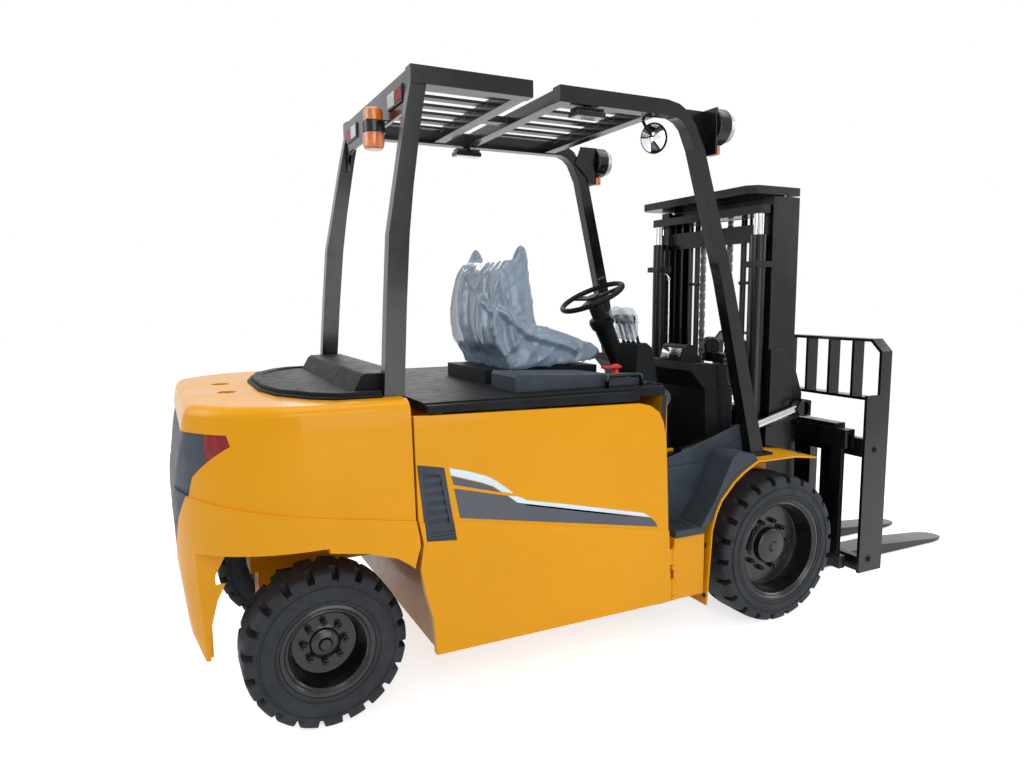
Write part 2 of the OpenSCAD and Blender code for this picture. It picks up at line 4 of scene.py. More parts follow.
import bmesh
import bpy
from mathutils import Matrix, Vector, noise
from mathutils.bvhtree import BVHTree


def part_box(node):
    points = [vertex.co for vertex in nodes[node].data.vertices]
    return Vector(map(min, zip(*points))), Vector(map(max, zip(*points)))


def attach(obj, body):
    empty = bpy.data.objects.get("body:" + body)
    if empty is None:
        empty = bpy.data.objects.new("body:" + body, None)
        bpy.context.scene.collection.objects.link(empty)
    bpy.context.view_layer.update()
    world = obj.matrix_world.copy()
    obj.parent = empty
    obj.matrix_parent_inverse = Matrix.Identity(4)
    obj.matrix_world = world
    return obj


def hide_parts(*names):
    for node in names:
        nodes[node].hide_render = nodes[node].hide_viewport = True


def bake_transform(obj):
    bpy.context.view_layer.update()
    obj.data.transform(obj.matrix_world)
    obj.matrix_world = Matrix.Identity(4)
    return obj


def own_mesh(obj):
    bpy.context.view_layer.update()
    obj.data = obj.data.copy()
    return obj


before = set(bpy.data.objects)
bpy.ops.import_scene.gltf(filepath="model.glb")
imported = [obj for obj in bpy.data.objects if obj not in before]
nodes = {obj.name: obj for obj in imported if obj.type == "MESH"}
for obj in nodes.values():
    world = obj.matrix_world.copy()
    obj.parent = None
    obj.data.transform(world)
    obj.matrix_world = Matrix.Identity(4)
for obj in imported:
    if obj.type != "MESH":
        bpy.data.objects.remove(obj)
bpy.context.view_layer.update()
scene = bpy.context.scene
scene.view_settings.view_transform = "Standard"

# Station frame: millimetres, rear axle at x = 0, forward +X, left +Y
OX = 1743.65
GUARD_TOP = 2403
MAST_REAR = 2262  # rear face of the outer rails
HEADLAMP_Y = 492


def P(x, y, z):
    return Vector(((x - OX) / 1000, y / 1000, z / 1000))


# ---- camera, light and floor ----
YAW, PITCH, ROLL = 0.4551, 0.1183, -0.0053
EYE = P(-504.5, -3162.9, 1560.1)
LENS, SENSOR = 25.716, 36
FOCAL_PX = 731.48  # the same lens in pixels of the 1024 x 768 frame


def view_axes():
    fw = Vector((math.sin(YAW) * math.cos(PITCH), math.cos(YAW) * math.cos(PITCH), -math.sin(PITCH)))
    right = Vector((math.cos(YAW), -math.sin(YAW), 0))
    r = right * math.cos(ROLL) + right.cross(fw) * math.sin(ROLL)
    return r, r.cross(fw), fw


def camera():
    r, u, fw = view_axes()
    cam = bpy.data.objects.new("camera", bpy.data.cameras.new("camera"))
    cam.data.lens, cam.data.sensor_width = LENS, SENSOR
    m = Matrix((r, u, -fw)).transposed().to_4x4()
    m.translation = EYE
    cam.matrix_world = m
    scene.collection.objects.link(cam)
    scene.camera = cam


def area_light(name, at, to, size, size_y, power, color=(1, 1, 1)):
    data = bpy.data.lights.new(name, "AREA")
    data.shape, data.size, data.size_y, data.energy, data.color = "RECTANGLE", size, size_y, power, color
    o = bpy.data.objects.new(name, data)
    o.location = at
    o.rotation_euler = (Vector(to) - Vector(at)).to_track_quat("-Z", "Y").to_euler()
    scene.collection.objects.link(o)


def put(node, **values):
    """Sets a shader node's inputs by name, with _ for a space."""
    for k, v in values.items():
        node.inputs[k.replace("_", " ")].default_value = v
    return node


def shader(nt, kind, **values):
    return put(nt.nodes.new("ShaderNode" + kind), **values)


def math_node(nt, operation):
    n = shader(nt, "Math")
    n.operation = operation
    return n


def mix_by_ray(nt, plain, seen, output):
    """Shows one shader to camera, glossy and transmission rays, and the other to the rest."""
    path = shader(nt, "LightPath")
    last = path.outputs["Is Camera Ray"]
    for k in ("Is Glossy Ray", "Is Transmission Ray"):
        m = math_node(nt, "MAXIMUM")
        nt.links.new(last, m.inputs[0])
        nt.links.new(path.outputs[k], m.inputs[1])
        last = m.outputs[0]
    mix = shader(nt, "MixShader")
    for source, socket in ((last, "Fac"), (plain.outputs[0], 1), (seen.outputs[0], 2)):
        nt.links.new(source, mix.inputs[socket])
    nt.links.new(mix.outputs[0], nt.nodes[output].inputs["Surface"])


def light_and_floor():
    w = bpy.data.worlds.new("studio")
    scene.world = w
    w.use_nodes = True
    nt = w.node_tree
    bg = put(nt.nodes["Background"], Color=(0.86, 0.90, 1.0, 1), Strength=0.35)
    mix_by_ray(nt, bg, shader(nt, "Background", Color=(1, 1, 1, 1)), "World Output")
    area_light("top", (0.0, -0.6, 5.2), (0, 0, 0.6), 5.0, 3.4, 135, (1, 0.99, 0.97))
    area_light("near_side", (-1.6, -5.2, 3.6), (0, 0, 0.8), 3.6, 2.2, 86)
    area_light("flank_panel", (-0.3, -6.4, 1.2), (-0.3, 0, 1.2), 3.4, 2.2, 64)
    area_light("rear", (-5.2, 0.6, 3.0), (-1, 0, 0.9), 2.6, 2.6, 75, (0.95, 0.97, 1))
    area_light("front", (5.0, -2.4, 3.2), (0.6, 0, 1.0), 2.6, 2.6, 65)
    area_light("far_side", (0.8, 5.0, 3.2), (0, 0, 0.9), 3.6, 2.4, 65)
    me = bpy.data.meshes.new("floor")
    with edited(me) as bm:
        bmesh.ops.create_grid(bm, x_segments=1, y_segments=1, size=30)
    o = bpy.data.objects.new("floor", me)
    scene.collection.objects.link(o)
    m, nt, b = blank("floor")
    n = noise_node(nt, 1.3, 5)
    spread(nt, n, b.inputs["Base Color"], (0.80, 0.80, 0.80), (0.84, 0.84, 0.84))
    put(b, Roughness=0.9, Specular_IOR_Level=0.1)
    glow = shader(nt, "Emission", Color=(1, 1, 1, 1), Strength=0.72)
    add = shader(nt, "AddShader")
    nt.links.new(b.outputs[0], add.inputs[0])
    nt.links.new(glow.outputs[0], add.inputs[1])
    mix_by_ray(nt, b, add, "Material Output")
    me.materials.append(m)


# ---- materials ----
def blank(name):
    m = bpy.data.materials.new(name)
    m.use_nodes = True
    return m, m.node_tree, m.node_tree.nodes["Principled BSDF"]


def noise_node(nt, scale, detail=4, stretch=(1, 1, 1), kind="TexNoise"):
    tc = shader(nt, "TexCoord")
    mp = shader(nt, "Mapping", Scale=stretch)
    n = shader(nt, kind, Scale=scale)
    if kind == "TexNoise":
        n.inputs["Detail"].default_value = detail
    nt.links.new(tc.outputs["Object"], mp.inputs["Vector"])
    nt.links.new(mp.outputs["Vector"], n.inputs["Vector"])
    return n


def fac(n):
    return n.outputs["Fac"] if "Fac" in n.outputs else n.outputs["Distance"]


def spread(nt, n, socket, low, high, at=(0.35, 0.65)):
    ramp = shader(nt, "ValToRGB")
    for e, c, p in zip(ramp.color_ramp.elements, (low, high), at):
        e.color, e.position = (*c, 1), p
    nt.links.new(fac(n), ramp.inputs["Fac"])
    nt.links.new(ramp.outputs["Color"], socket)
    return ramp


def span(nt, source, socket, low, high, at=(0.3, 0.7)):
    mr = shader(nt, "MapRange", From_Min=at[0], From_Max=at[1], To_Min=low, To_Max=high)
    nt.links.new(source, mr.inputs["Value"])
    nt.links.new(mr.outputs["Result"], socket)


def bump_from(nt, b, height, strength, distance):
    bp = shader(nt, "Bump", Strength=strength, Distance=distance)
    nt.links.new(height, bp.inputs["Height"])
    nt.links.new(bp.outputs["Normal"], b.inputs["Normal"])


def make(name, color, rough, metal=0.0, vary=0.08, scale=5, grain=300, bump=0.1, depth=0.0005, coat=0.0,
         stretch=(1, 1, 1), dust=0.0, rough_vary=0.07, kind="TexNoise", **sockets):
    m, nt, b = blank(name)
    n = noise_node(nt, scale, 6, stretch)
    low = [c * (1 - vary) for c in color]
    high = [min(1, c * (1 + vary) + 0.002) for c in color]
    ramp = spread(nt, n, b.inputs["Base Color"], low, high)
    if dust:
        geo = shader(nt, "NewGeometry")
        sep = shader(nt, "SeparateXYZ")
        nt.links.new(geo.outputs["Normal"], sep.inputs[0])
        d = noise_node(nt, 14, 8)
        mul = math_node(nt, "MULTIPLY")
        mix = shader(nt, "Mix")
        mix.data_type = "RGBA"
        span(nt, sep.outputs["Z"], mul.inputs[0], 0, dust, (0.3, 1))
        span(nt, fac(d), mul.inputs[1], 0.2, 1, (0.35, 0.7))
        nt.links.new(mul.outputs[0], mix.inputs["Factor"])
        nt.links.new(ramp.outputs["Color"], mix.inputs[6])
        mix.inputs[7].default_value = (0.23, 0.22, 0.20, 1)
        nt.links.new(mix.outputs[2], b.inputs["Base Color"])
    r = noise_node(nt, scale * 2.3, 6, stretch)
    span(nt, fac(r), b.inputs["Roughness"], max(0.02, rough - rough_vary), rough + rough_vary)
    g = noise_node(nt, grain, 3, stretch, kind)
    bump_from(nt, b, fac(g), bump, depth)
    put(b, Metallic=metal, **sockets)
    if coat:
        put(b, Coat_Weight=coat, Coat_Roughness=0.06)
    return m


YELLOW = make("body_paint", (0.76, 0.325, 0.0), 0.30, vary=0.03, scale=2.2, grain=420,
              depth=0.0004, coat=0.22, Specular_IOR_Level=0.08)
BLACK = make("black_steel", (0.0034, 0.004, 0.0048), 0.20, vary=0.25, scale=7, grain=500, bump=0.08,
             depth=0.0003, coat=0.15, dust=0.006, rough_vary=0.05, Specular_IOR_Level=0.3)
MAST = make("mast_steel", (0.0035, 0.004, 0.0047), 0.26, vary=0.3, scale=9, grain=380, bump=0.14,
            coat=0.1, stretch=(1, 1, 0.35), Specular_IOR_Level=0.25)
SLATE = make("grey_plastic", (0.030, 0.040, 0.053), 0.52, vary=0.12, scale=9, grain=900, bump=0.3,
             dust=0.02, Specular_IOR_Level=0.3)
PLASTIC = make("black_plastic", (0.0055, 0.0065, 0.008), 0.55, vary=0.18, scale=9, grain=1000, bump=0.25,
               depth=0.0004, dust=0.004, Specular_IOR_Level=0.12)
TYRE = make("tyre_rubber", (0.016, 0.019, 0.0235), 0.66, vary=0.28, scale=12, grain=260, bump=0.3,
            depth=0.0009, dust=0.02, Specular_IOR_Level=0.3)
RIM = make("rim_paint", (0.0055, 0.006, 0.007), 0.24, vary=0.25, scale=10,
           depth=0.0004, coat=0.2, Specular_IOR_Level=0.35)
BATTERY = make("battery_case", (0.045, 0.05, 0.055), 0.5, vary=0.15, grain=240, bump=0.2)
CHAIN = make("chain_steel", (0.16, 0.155, 0.15), 0.36, metal=1.0, vary=0.3, scale=30, bump=0.15)
SILVER = make("zinc_steel", (0.62, 0.62, 0.63), 0.28, metal=1.0, vary=0.1, scale=20, grain=400)
CHROME = make("chrome_rod", (0.52, 0.53, 0.55), 0.12, metal=1.0, vary=0.04, scale=30, grain=600, bump=0.05,
              stretch=(1, 1, 0.1), rough_vary=0.04)
HOSE = make("hose_rubber", (0.012, 0.0125, 0.0135), 0.45, vary=0.2, scale=25, grain=700, bump=0.3)
BOLT = make("black_bolts", (0.02, 0.021, 0.023), 0.35, metal=0.6, vary=0.3, scale=40, grain=500, bump=0.2)
RED = make("red_lens", (0.24, 0.001, 0.004), 0.14, vary=0.3, scale=30, grain=190, bump=0.5, depth=0.002,
           coat=0.3, kind="TexVoronoi", Specular_IOR_Level=0.2)
AMBER = make("amber_lens", (0.88, 0.20, 0.004), 0.12, vary=0.1, scale=30, grain=160, bump=0.5, depth=0.002,
             coat=0.8, kind="TexVoronoi", Transmission_Weight=0.35)
CLEAR = make("clear_lens", (0.42, 0.45, 0.48), 0.10, scale=30, grain=170, bump=0.5, depth=0.002,
             coat=0.8, kind="TexVoronoi")
MIRROR = make("mirror_glass", (0.80, 0.82, 0.84), 0.03, metal=1.0, vary=0.02, grain=60, bump=0.01,
              rough_vary=0.02)
SCREEN = make("display_glass", (0.012, 0.016, 0.022), 0.10, vary=0.3, scale=40, grain=90, bump=0.02, coat=1.0)
LATCH = make("red_plastic", (0.62, 0.012, 0.010), 0.35, vary=0.1, scale=20, grain=700, bump=0.2)
WHITE = make("stripe_light", (0.66, 0.80, 0.86), 0.30, vary=0.04, scale=6, grain=500, coat=0.4)
DARK = make("stripe_dark", (0.033, 0.042, 0.056), 0.34, vary=0.1, scale=6, grain=500, coat=0.35)
PAD = make("seat_cover", (0.030, 0.034, 0.040), 0.75, vary=0.2, scale=20, grain=850, bump=0.6, depth=0.001,
           kind="TexVoronoi", Sheen_Weight=0.25)


def film(name, color, alpha, rough):
    m, nt, b = blank(name)
    n = noise_node(nt, 9, 6)
    spread(nt, n, b.inputs["Base Color"], [c * 0.86 for c in color], [min(1, c * 1.12) for c in color])
    r = noise_node(nt, 22, 5)
    span(nt, fac(r), b.inputs["Roughness"], rough - 0.05, rough + 0.1)
    span(nt, fac(noise_node(nt, 6, 4)), b.inputs["Alpha"], alpha - 0.09, min(1, alpha + 0.1))
    w = noise_node(nt, 26, 5, (1.0, 1.0, 0.45))
    f = noise_node(nt, 95, 4, (1, 1, 0.6))
    add = math_node(nt, "MULTIPLY_ADD")
    add.inputs[1].default_value = 0.35
    nt.links.new(fac(f), add.inputs[0])
    nt.links.new(fac(w), add.inputs[2])
    bump_from(nt, b, add.outputs[0], 0.55, 0.012)
    put(b, Coat_Weight=0.7, Coat_Roughness=0.08)
    return m


MILKY = film("seat_film", (0.20, 0.275, 0.36), 0.84, 0.18)
THIN = film("lever_film", (0.60, 0.67, 0.72), 0.42, 0.14)


# ---- mesh helpers ----
@contextmanager
def edited(me):
    """A mesh as a bmesh, written back at the end."""
    bm = bmesh.new()
    bm.from_mesh(me)
    yield bm
    bm.to_mesh(me)
    bm.free()


def dressed(me, mat):
    me.materials.clear()
    me.materials.append(mat)


def piece(name, verts, faces, mat, body, bevel=0.0, smooth=True):
    me = bpy.data.meshes.new(name)
    me.from_pydata([tuple(v) for v in verts], [], faces)
    with edited(me) as bm:
        bmesh.ops.recalc_face_normals(bm, faces=bm.faces)
    o = bpy.data.objects.new(name, me)
    scene.collection.objects.link(o)
    me.materials.append(mat)
    for p in me.polygons:
        p.use_smooth = smooth
    if bevel:
        soften(o, bevel)
    if body:
        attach(o, body)
    return o


def soften(o, width, weld=False):
    if weld:
        w = o.modifiers.new("weld", "WELD")
        w.merge_threshold = 0.00005
    b = o.modifiers.new("edges", "BEVEL")
    b.width, b.segments, b.limit_method, b.angle_limit = width, 2, "ANGLE", math.radians(33)
    b.use_clamp_overlap = True
    n = o.modifiers.new("normals", "WEIGHTED_NORMAL")
    n.keep_sharp = False


def circle(axis, n):
    """An axis, and n unit vectors round it."""
    z = Vector(axis).normalized()
    x = z.orthogonal().normalized()
    y = z.cross(x)
    turns = [2 * math.pi * i / n for i in range(n)]
    return z, [x * math.cos(a) + y * math.sin(a) for a in turns]


def skin(n, rings):
    """Faces over rings of n points, with both ends closed."""
    faces = [(j * n + i, j * n + (i + 1) % n, (j + 1) * n + (i + 1) % n, (j + 1) * n + i)
             for j in range(rings - 1) for i in range(n)]
    return faces + [tuple(range(n))[::-1], tuple(range((rings - 1) * n, rings * n))]


class Bag:
    """Gathers simple solids into one mesh piece."""

    def __init__(self):
        self.v, self.f = [], []

    def add(self, verts, faces):
        k = len(self.v)
        self.v += [Vector(v) for v in verts]
        self.f += [tuple(i + k for i in f) for f in faces]

    def turned(self, profile, at, axis, n=24):
        """A turned solid: profile of (radius, height) along axis from at."""
        z, spokes = circle(axis, n)
        self.add([at + z * h + d * r for r, h in profile for d in spokes], skin(n, len(profile)))

    def bolt(self, at, axis, r):
        h = r * 0.9
        self.turned([(r * 1.75, 0), (r * 1.75, r * 0.22), (r * 1.6, r * 0.3)], at, axis, 20)
        a = Vector(axis).normalized()
        self.turned([(r * 1.1, 0), (r * 1.1, h * 0.8), (r * 0.92, h)], at + a * r * 0.28, axis, 6)

    def tube(self, pts, r, n=12):
        pts = [Vector(p) for p in pts]
        turns = [2 * math.pi * k / n for k in range(n)]
        verts, x = [], None
        for i, p in enumerate(pts):
            d = (pts[min(i + 1, len(pts) - 1)] - pts[max(i - 1, 0)]).normalized()
            x = d.orthogonal().normalized() if x is None else (x - d * x.dot(d)).normalized()
            y = d.cross(x)
            verts += [p + (x * math.cos(a) + y * math.sin(a)) * r for a in turns]
        self.add(verts, skin(n, len(pts)))

    def slab(self, outline, axis_dir, thick):
        """A plate: outline points, pushed out along axis_dir by thick."""
        d = Vector(axis_dir) * thick
        n = len(outline)
        self.add([Vector(p) for p in outline] + [Vector(p) + d for p in outline],
                 [tuple(range(n))[::-1], tuple(range(n, 2 * n))] +
                 [(i, (i + 1) % n, n + (i + 1) % n, n + i) for i in range(n)])

    def box(self, x0, x1, y0, y1, z0, z1):
        x0, x1, y0, y1 = min(x0, x1), max(x0, x1), min(y0, y1), max(y0, y1)
        self.slab([P(x0, y0, z0), P(x1, y0, z0), P(x1, y1, z0), P(x0, y1, z0)], (0, 0, 1), (z1 - z0) / 1000)

    def side(self, outline, y0, y1):
        """A solid from an outline in x and z, between two values of y."""
        self.slab([P(x, min(y0, y1), z) for x, z in outline], (0, 1, 0), abs(y1 - y0) / 1000)

    def face(self, outline, x0, x1):
        """A solid from an outline in y and z, between two values of x."""
        self.slab([P(x0, y, z) for y, z in outline], (1, 0, 0), (x1 - x0) / 1000)

    def top(self, outline, z0, z1):
        """A solid from an outline in x and y, between two values of z."""
        self.slab([P(x, y, z0) for x, y in outline], (0, 0, 1), (z1 - z0) / 1000)

    def ring(self, loop, at, axis, n=64):
        """A closed outline of (radius, height) turned round an axis."""
        z, spokes = circle(axis, n)
        m = len(loop)
        faces = [(i * m + j, i * m + (j + 1) % m, (i + 1) % n * m + (j + 1) % m, (i + 1) % n * m + j)
                 for i in range(n) for j in range(m)]
        self.add([at + z * h + d * r for d in spokes for r, h in loop], faces)

    def made(self, name, mat, body, bevel=0.0, smooth=True):
        return piece(name, self.v, self.f, mat, body, bevel, smooth)


trees = {}


def surface(node, origin, direction):
    """First point of a CAD node on a ray, with its normal."""
    if node not in trees:
        me = nodes[node].data
        trees[node] = BVHTree.FromPolygons([v.co for v in me.vertices], [tuple(p.vertices) for p in me.polygons])
    at, normal, _, _ = trees[node].ray_cast(Vector(origin), Vector(direction))
    return at, normal


# ---- CAD nodes: finish and softened edges ----
FINISH = {
    YELLOW: "frame side_door side_panel_left fenders".split(),
    PLASTIC: "cowl steering_column steering_wheel hood floor_plate".split(),
    BLACK: ("guard_rails guard_pillars guard_roof tow_pin drive_axle steer_axle "
            "knuckle_right knuckle_left tilt_barrels fork_right fork_left load_backrest").split(),
    MAST: ("mast_outer lift_cylinders mast_middle mast_inner free_cylinder crosshead carriage "
           "fork_frame").split(),
    BATTERY: ["battery"], CHROME: ["lift_rods", "tilt_rods"],
}
SOFT = {"side_door": 0.005, "side_panel_left": 0.005, "fenders": 0.003, "hood": 0.006, "cowl": 0.008,
        "fork_right": 0.004, "fork_left": 0.004, "guard_roof": 0.003, "lift_rods": 0.001, "tilt_rods": 0.001}


def finish_nodes():
    for mat, names in FINISH.items():
        for n in names:
            o = nodes[n]
            dressed(o.data, mat)
            for p in o.data.polygons:
                p.material_index = 0
                p.use_smooth = True
            soften(o, SOFT.get(n, 0.0025), True)
    # the frame's posts beside the steps are black
    me = nodes["frame"].data
    me.materials.append(BLACK)
    for p in me.polygons:
        c = p.center
        if 1400 < c.x * 1000 + OX < 1575 and abs(c.y) > 0.560 and c.z > 0.640:
            p.material_index = 1


# ---- forms that the CAD nodes hold in plainer shape ----
def arc(cx, cz, r, a0, a1, n=6):
    turns = [math.radians(a0 + (a1 - a0) * k / n) for k in range(n + 1)]
    return [(cx + r * math.cos(a), cz + r * math.sin(a)) for a in turns]


def read(table, z):
    """The first value of a table at height z, between its rows."""
    for (a, z0), (b, z1) in zip(table, table[1:]):
        if min(z0, z1) <= z <= max(z0, z1):
            return a + (b - a) * (z - z0) / (z1 - z0)
    return table[0][0]


def carved(name, bag, steps, mat, body, bevel=0.0):
    """A solid changed in turn by other solids: each step is an operation and a Bag."""
    def mesh(b, n):
        o = piece(n, b.v, b.f, mat, None)
        with edited(o.data) as bm:
            bmesh.ops.remove_doubles(bm, verts=bm.verts, dist=1e-6)
            bmesh.ops.recalc_face_normals(bm, faces=bm.faces)
        return o

    base = mesh(bag, name + "_raw")
    tools = []
    for k, (op, b) in enumerate(steps):
        t = mesh(b, f"{name}_tool_{k}")
        m = base.modifiers.new(op, "BOOLEAN")
        m.operation, m.solver, m.object = op, "EXACT", t
        tools.append(t)
    bpy.context.view_layer.update()
    me = bpy.data.meshes.new_from_object(base.evaluated_get(bpy.context.evaluated_depsgraph_get()))
    for t in [base] + tools:
        bpy.data.objects.remove(t)
    b = Bag()
    b.add([v.co for v in me.vertices], [tuple(q.vertices) for q in me.polygons])
    bpy.data.meshes.remove(me)
    if body is None:
        return b
    o = b.made(name, mat, body)
    if bevel:
        soften(o, bevel, True)
    return o


def cast_shape(off):
    """The counterweight's body, set in by off: round rear corners, a waist that falls, a rounded top."""
    rear = [(90, 1200), (70, 1192), (58, 1170), (27, 1019), (0, 830), (0, 750), (15, 610), (42, 394), (80, 300)]
    front = [(300, 1200), (304, 1140), (314, 755), (330, 666), (303, 577), (303, 300)]
    cols = [(1 - k / 14, -250, 0, -1) for k in range(14)]
    cols += [(0, -250, dx, dy) for dx, dy in arc(0, 0, 1, -90, -180, 28)]
    cols += [(0, -250 + 500 * k / 12, -1, 0) for k in range(1, 12)]
    cols += [(0, 250, dx, dy) for dx, dy in arc(0, 0, 1, 180, 90, 28)]
    cols += [(k / 14, 250, 0, 1) for k in range(1, 15)]
    n = len(cols)
    levels = [(0, k / 14, 0) for k in range(15)] + [(1, k / 12, 8) for k in range(13)]
    levels += [(2, math.radians(15 * k), 8) for k in range(1, 7)]
    verts = []
    for part, t, inset in levels:
        for share, cy, dx, dy in cols:
            waist = 910 - 0.17 * (-35 + 345 * share + dx * (450 - off) + 600)
            z = (300 + (waist - 300) * t, waist + 0.6 + (1159.4 - waist) * t, 1160 + 40 * math.sin(t))[part]
            r = 450 - off - inset - (40 * (1 - math.cos(t)) if part == 2 else 0)
            x = max(-35 + (read(front, z) + 35) * share + dx * r, -485 + off + read(rear, z))
            verts.append(P(x, cy + dy * r, z))
    b = Bag()
    b.add(verts, skin(n, len(levels)))
    return b


def rear_body():
    line = [(598, 1108), (606, 1071), (512, 985), (478, 951), (458, 890), (392, 790), (360, 700), (345, 615)]
    insert = Bag()
    insert.face(line + [(-y, z) for y, z in reversed(line)], -600, -200)
    ends = Bag()
    for s in (1, -1):
        ends.box(-600, -190, s * 530, s * 720, 900, 1150)
    tail = [(0, 685), (135, 662), (243, 626), (303, 582), (340, 500), (346, 0)]
    arch, sides, flanks, holes = Bag(), [], [], Bag()
    arch.side([(-376, 0), (-376, 480), (-356, 600), (-308, 685)] + tail, -495, 495)
    turn = math.radians(4.63)
    for s in (1, -1):
        b = Bag()
        bow = [(-150 - 236 * x, 330 + 355 * z) for x, z in arc(0, 0, 1, 0, 90)]
        b.side([(-386, 0)] + bow + tail, s * 490, s * 709)
        sides.append(b)
        b = Bag()
        b.side([(-600, 200), (-600, 640), (-520, 685), (0, 685), (0, 200)], 490, 800)
        for v in b.v:
            y, z = v.y - 0.490, v.z - 0.627
            v.y = s * (0.490 + y * math.cos(turn) - z * math.sin(turn))
            v.z = 0.627 + y * math.sin(turn) + z * math.cos(turn)
        flanks.append(b)
        holes.turned([(0.036, 0), (0.036, 0.13)], P(-262, s * 150, 1080), (0, 0, 1), 40)
    recess = carved("recess", insert, [("DIFFERENCE", cast_shape(20))], YELLOW, None)
    cuts = [("DIFFERENCE", b) for b in (arch, *sides, *flanks, recess, holes)]
    o = carved("counterweight_cast", cast_shape(0), cuts, YELLOW, "chassis", 0.004)
    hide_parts("counterweight")
    boss = Bag()
    for z0, z1 in ((330, 395), (455, 530)):
        boss.box(-440, -335, -70, 70, z0, z1)
    boss.box(-378, -335, -70, 70, 330, 600)
    for s in (1, -1):
        boss.box(-440, -335, s * 48, s * 70, 330, 600)
    boss.made("tow_boss", YELLOW, "chassis", 0.004)
    grooves = Bag()
    for k in range(4):
        grooves.box(-545, -459 - 4 * k, -260, 260, 640 + 32 * k, 653 + 32 * k)
    inner = cast_shape(19.7)
    o = carved("rear_insert", insert, [("INTERSECT", cast_shape(9)), ("DIFFERENCE", inner), ("DIFFERENCE", ends),
                                       ("DIFFERENCE", grooves)], SLATE, "chassis", 0.002)
    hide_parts("rear_panel")
    o = carved("tail_lamps", insert, [("INTERSECT", cast_shape(3)), ("DIFFERENCE", inner), ("INTERSECT", ends)],
               RED, "chassis", 0.002)
    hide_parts("rear_lamps")

    tray = [(-150, 180), (-112, 365), (-20, 520), (60, 590), (232, 600)]

    def twin(d):
        """The tray's outline set in by d, with its mirror image."""
        q = [(min(x + d, 232), y - d) for x, y in tray]
        return q + [(x, -y) for x, y in reversed(q)]

    rim, hollow = Bag(), Bag()
    rim.top(twin(16), 1200, 1224)
    hollow.top(twin(46), 1216, 1240)
    b = carved("tray_rim", rim, [("DIFFERENCE", hollow)], PLASTIC, None)
    b.top(twin(0), 1200, 1210)
    b.side([(140, 1200), (140, 1210), (174, 1272), (190, 1282), (336, 1282), (342, 1274), (342, 1200)], -512, 512)
    o = b.made("rear_tray", PLASTIC, "chassis")
    soften(o, 0.004, True)
    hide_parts("deck_tray")


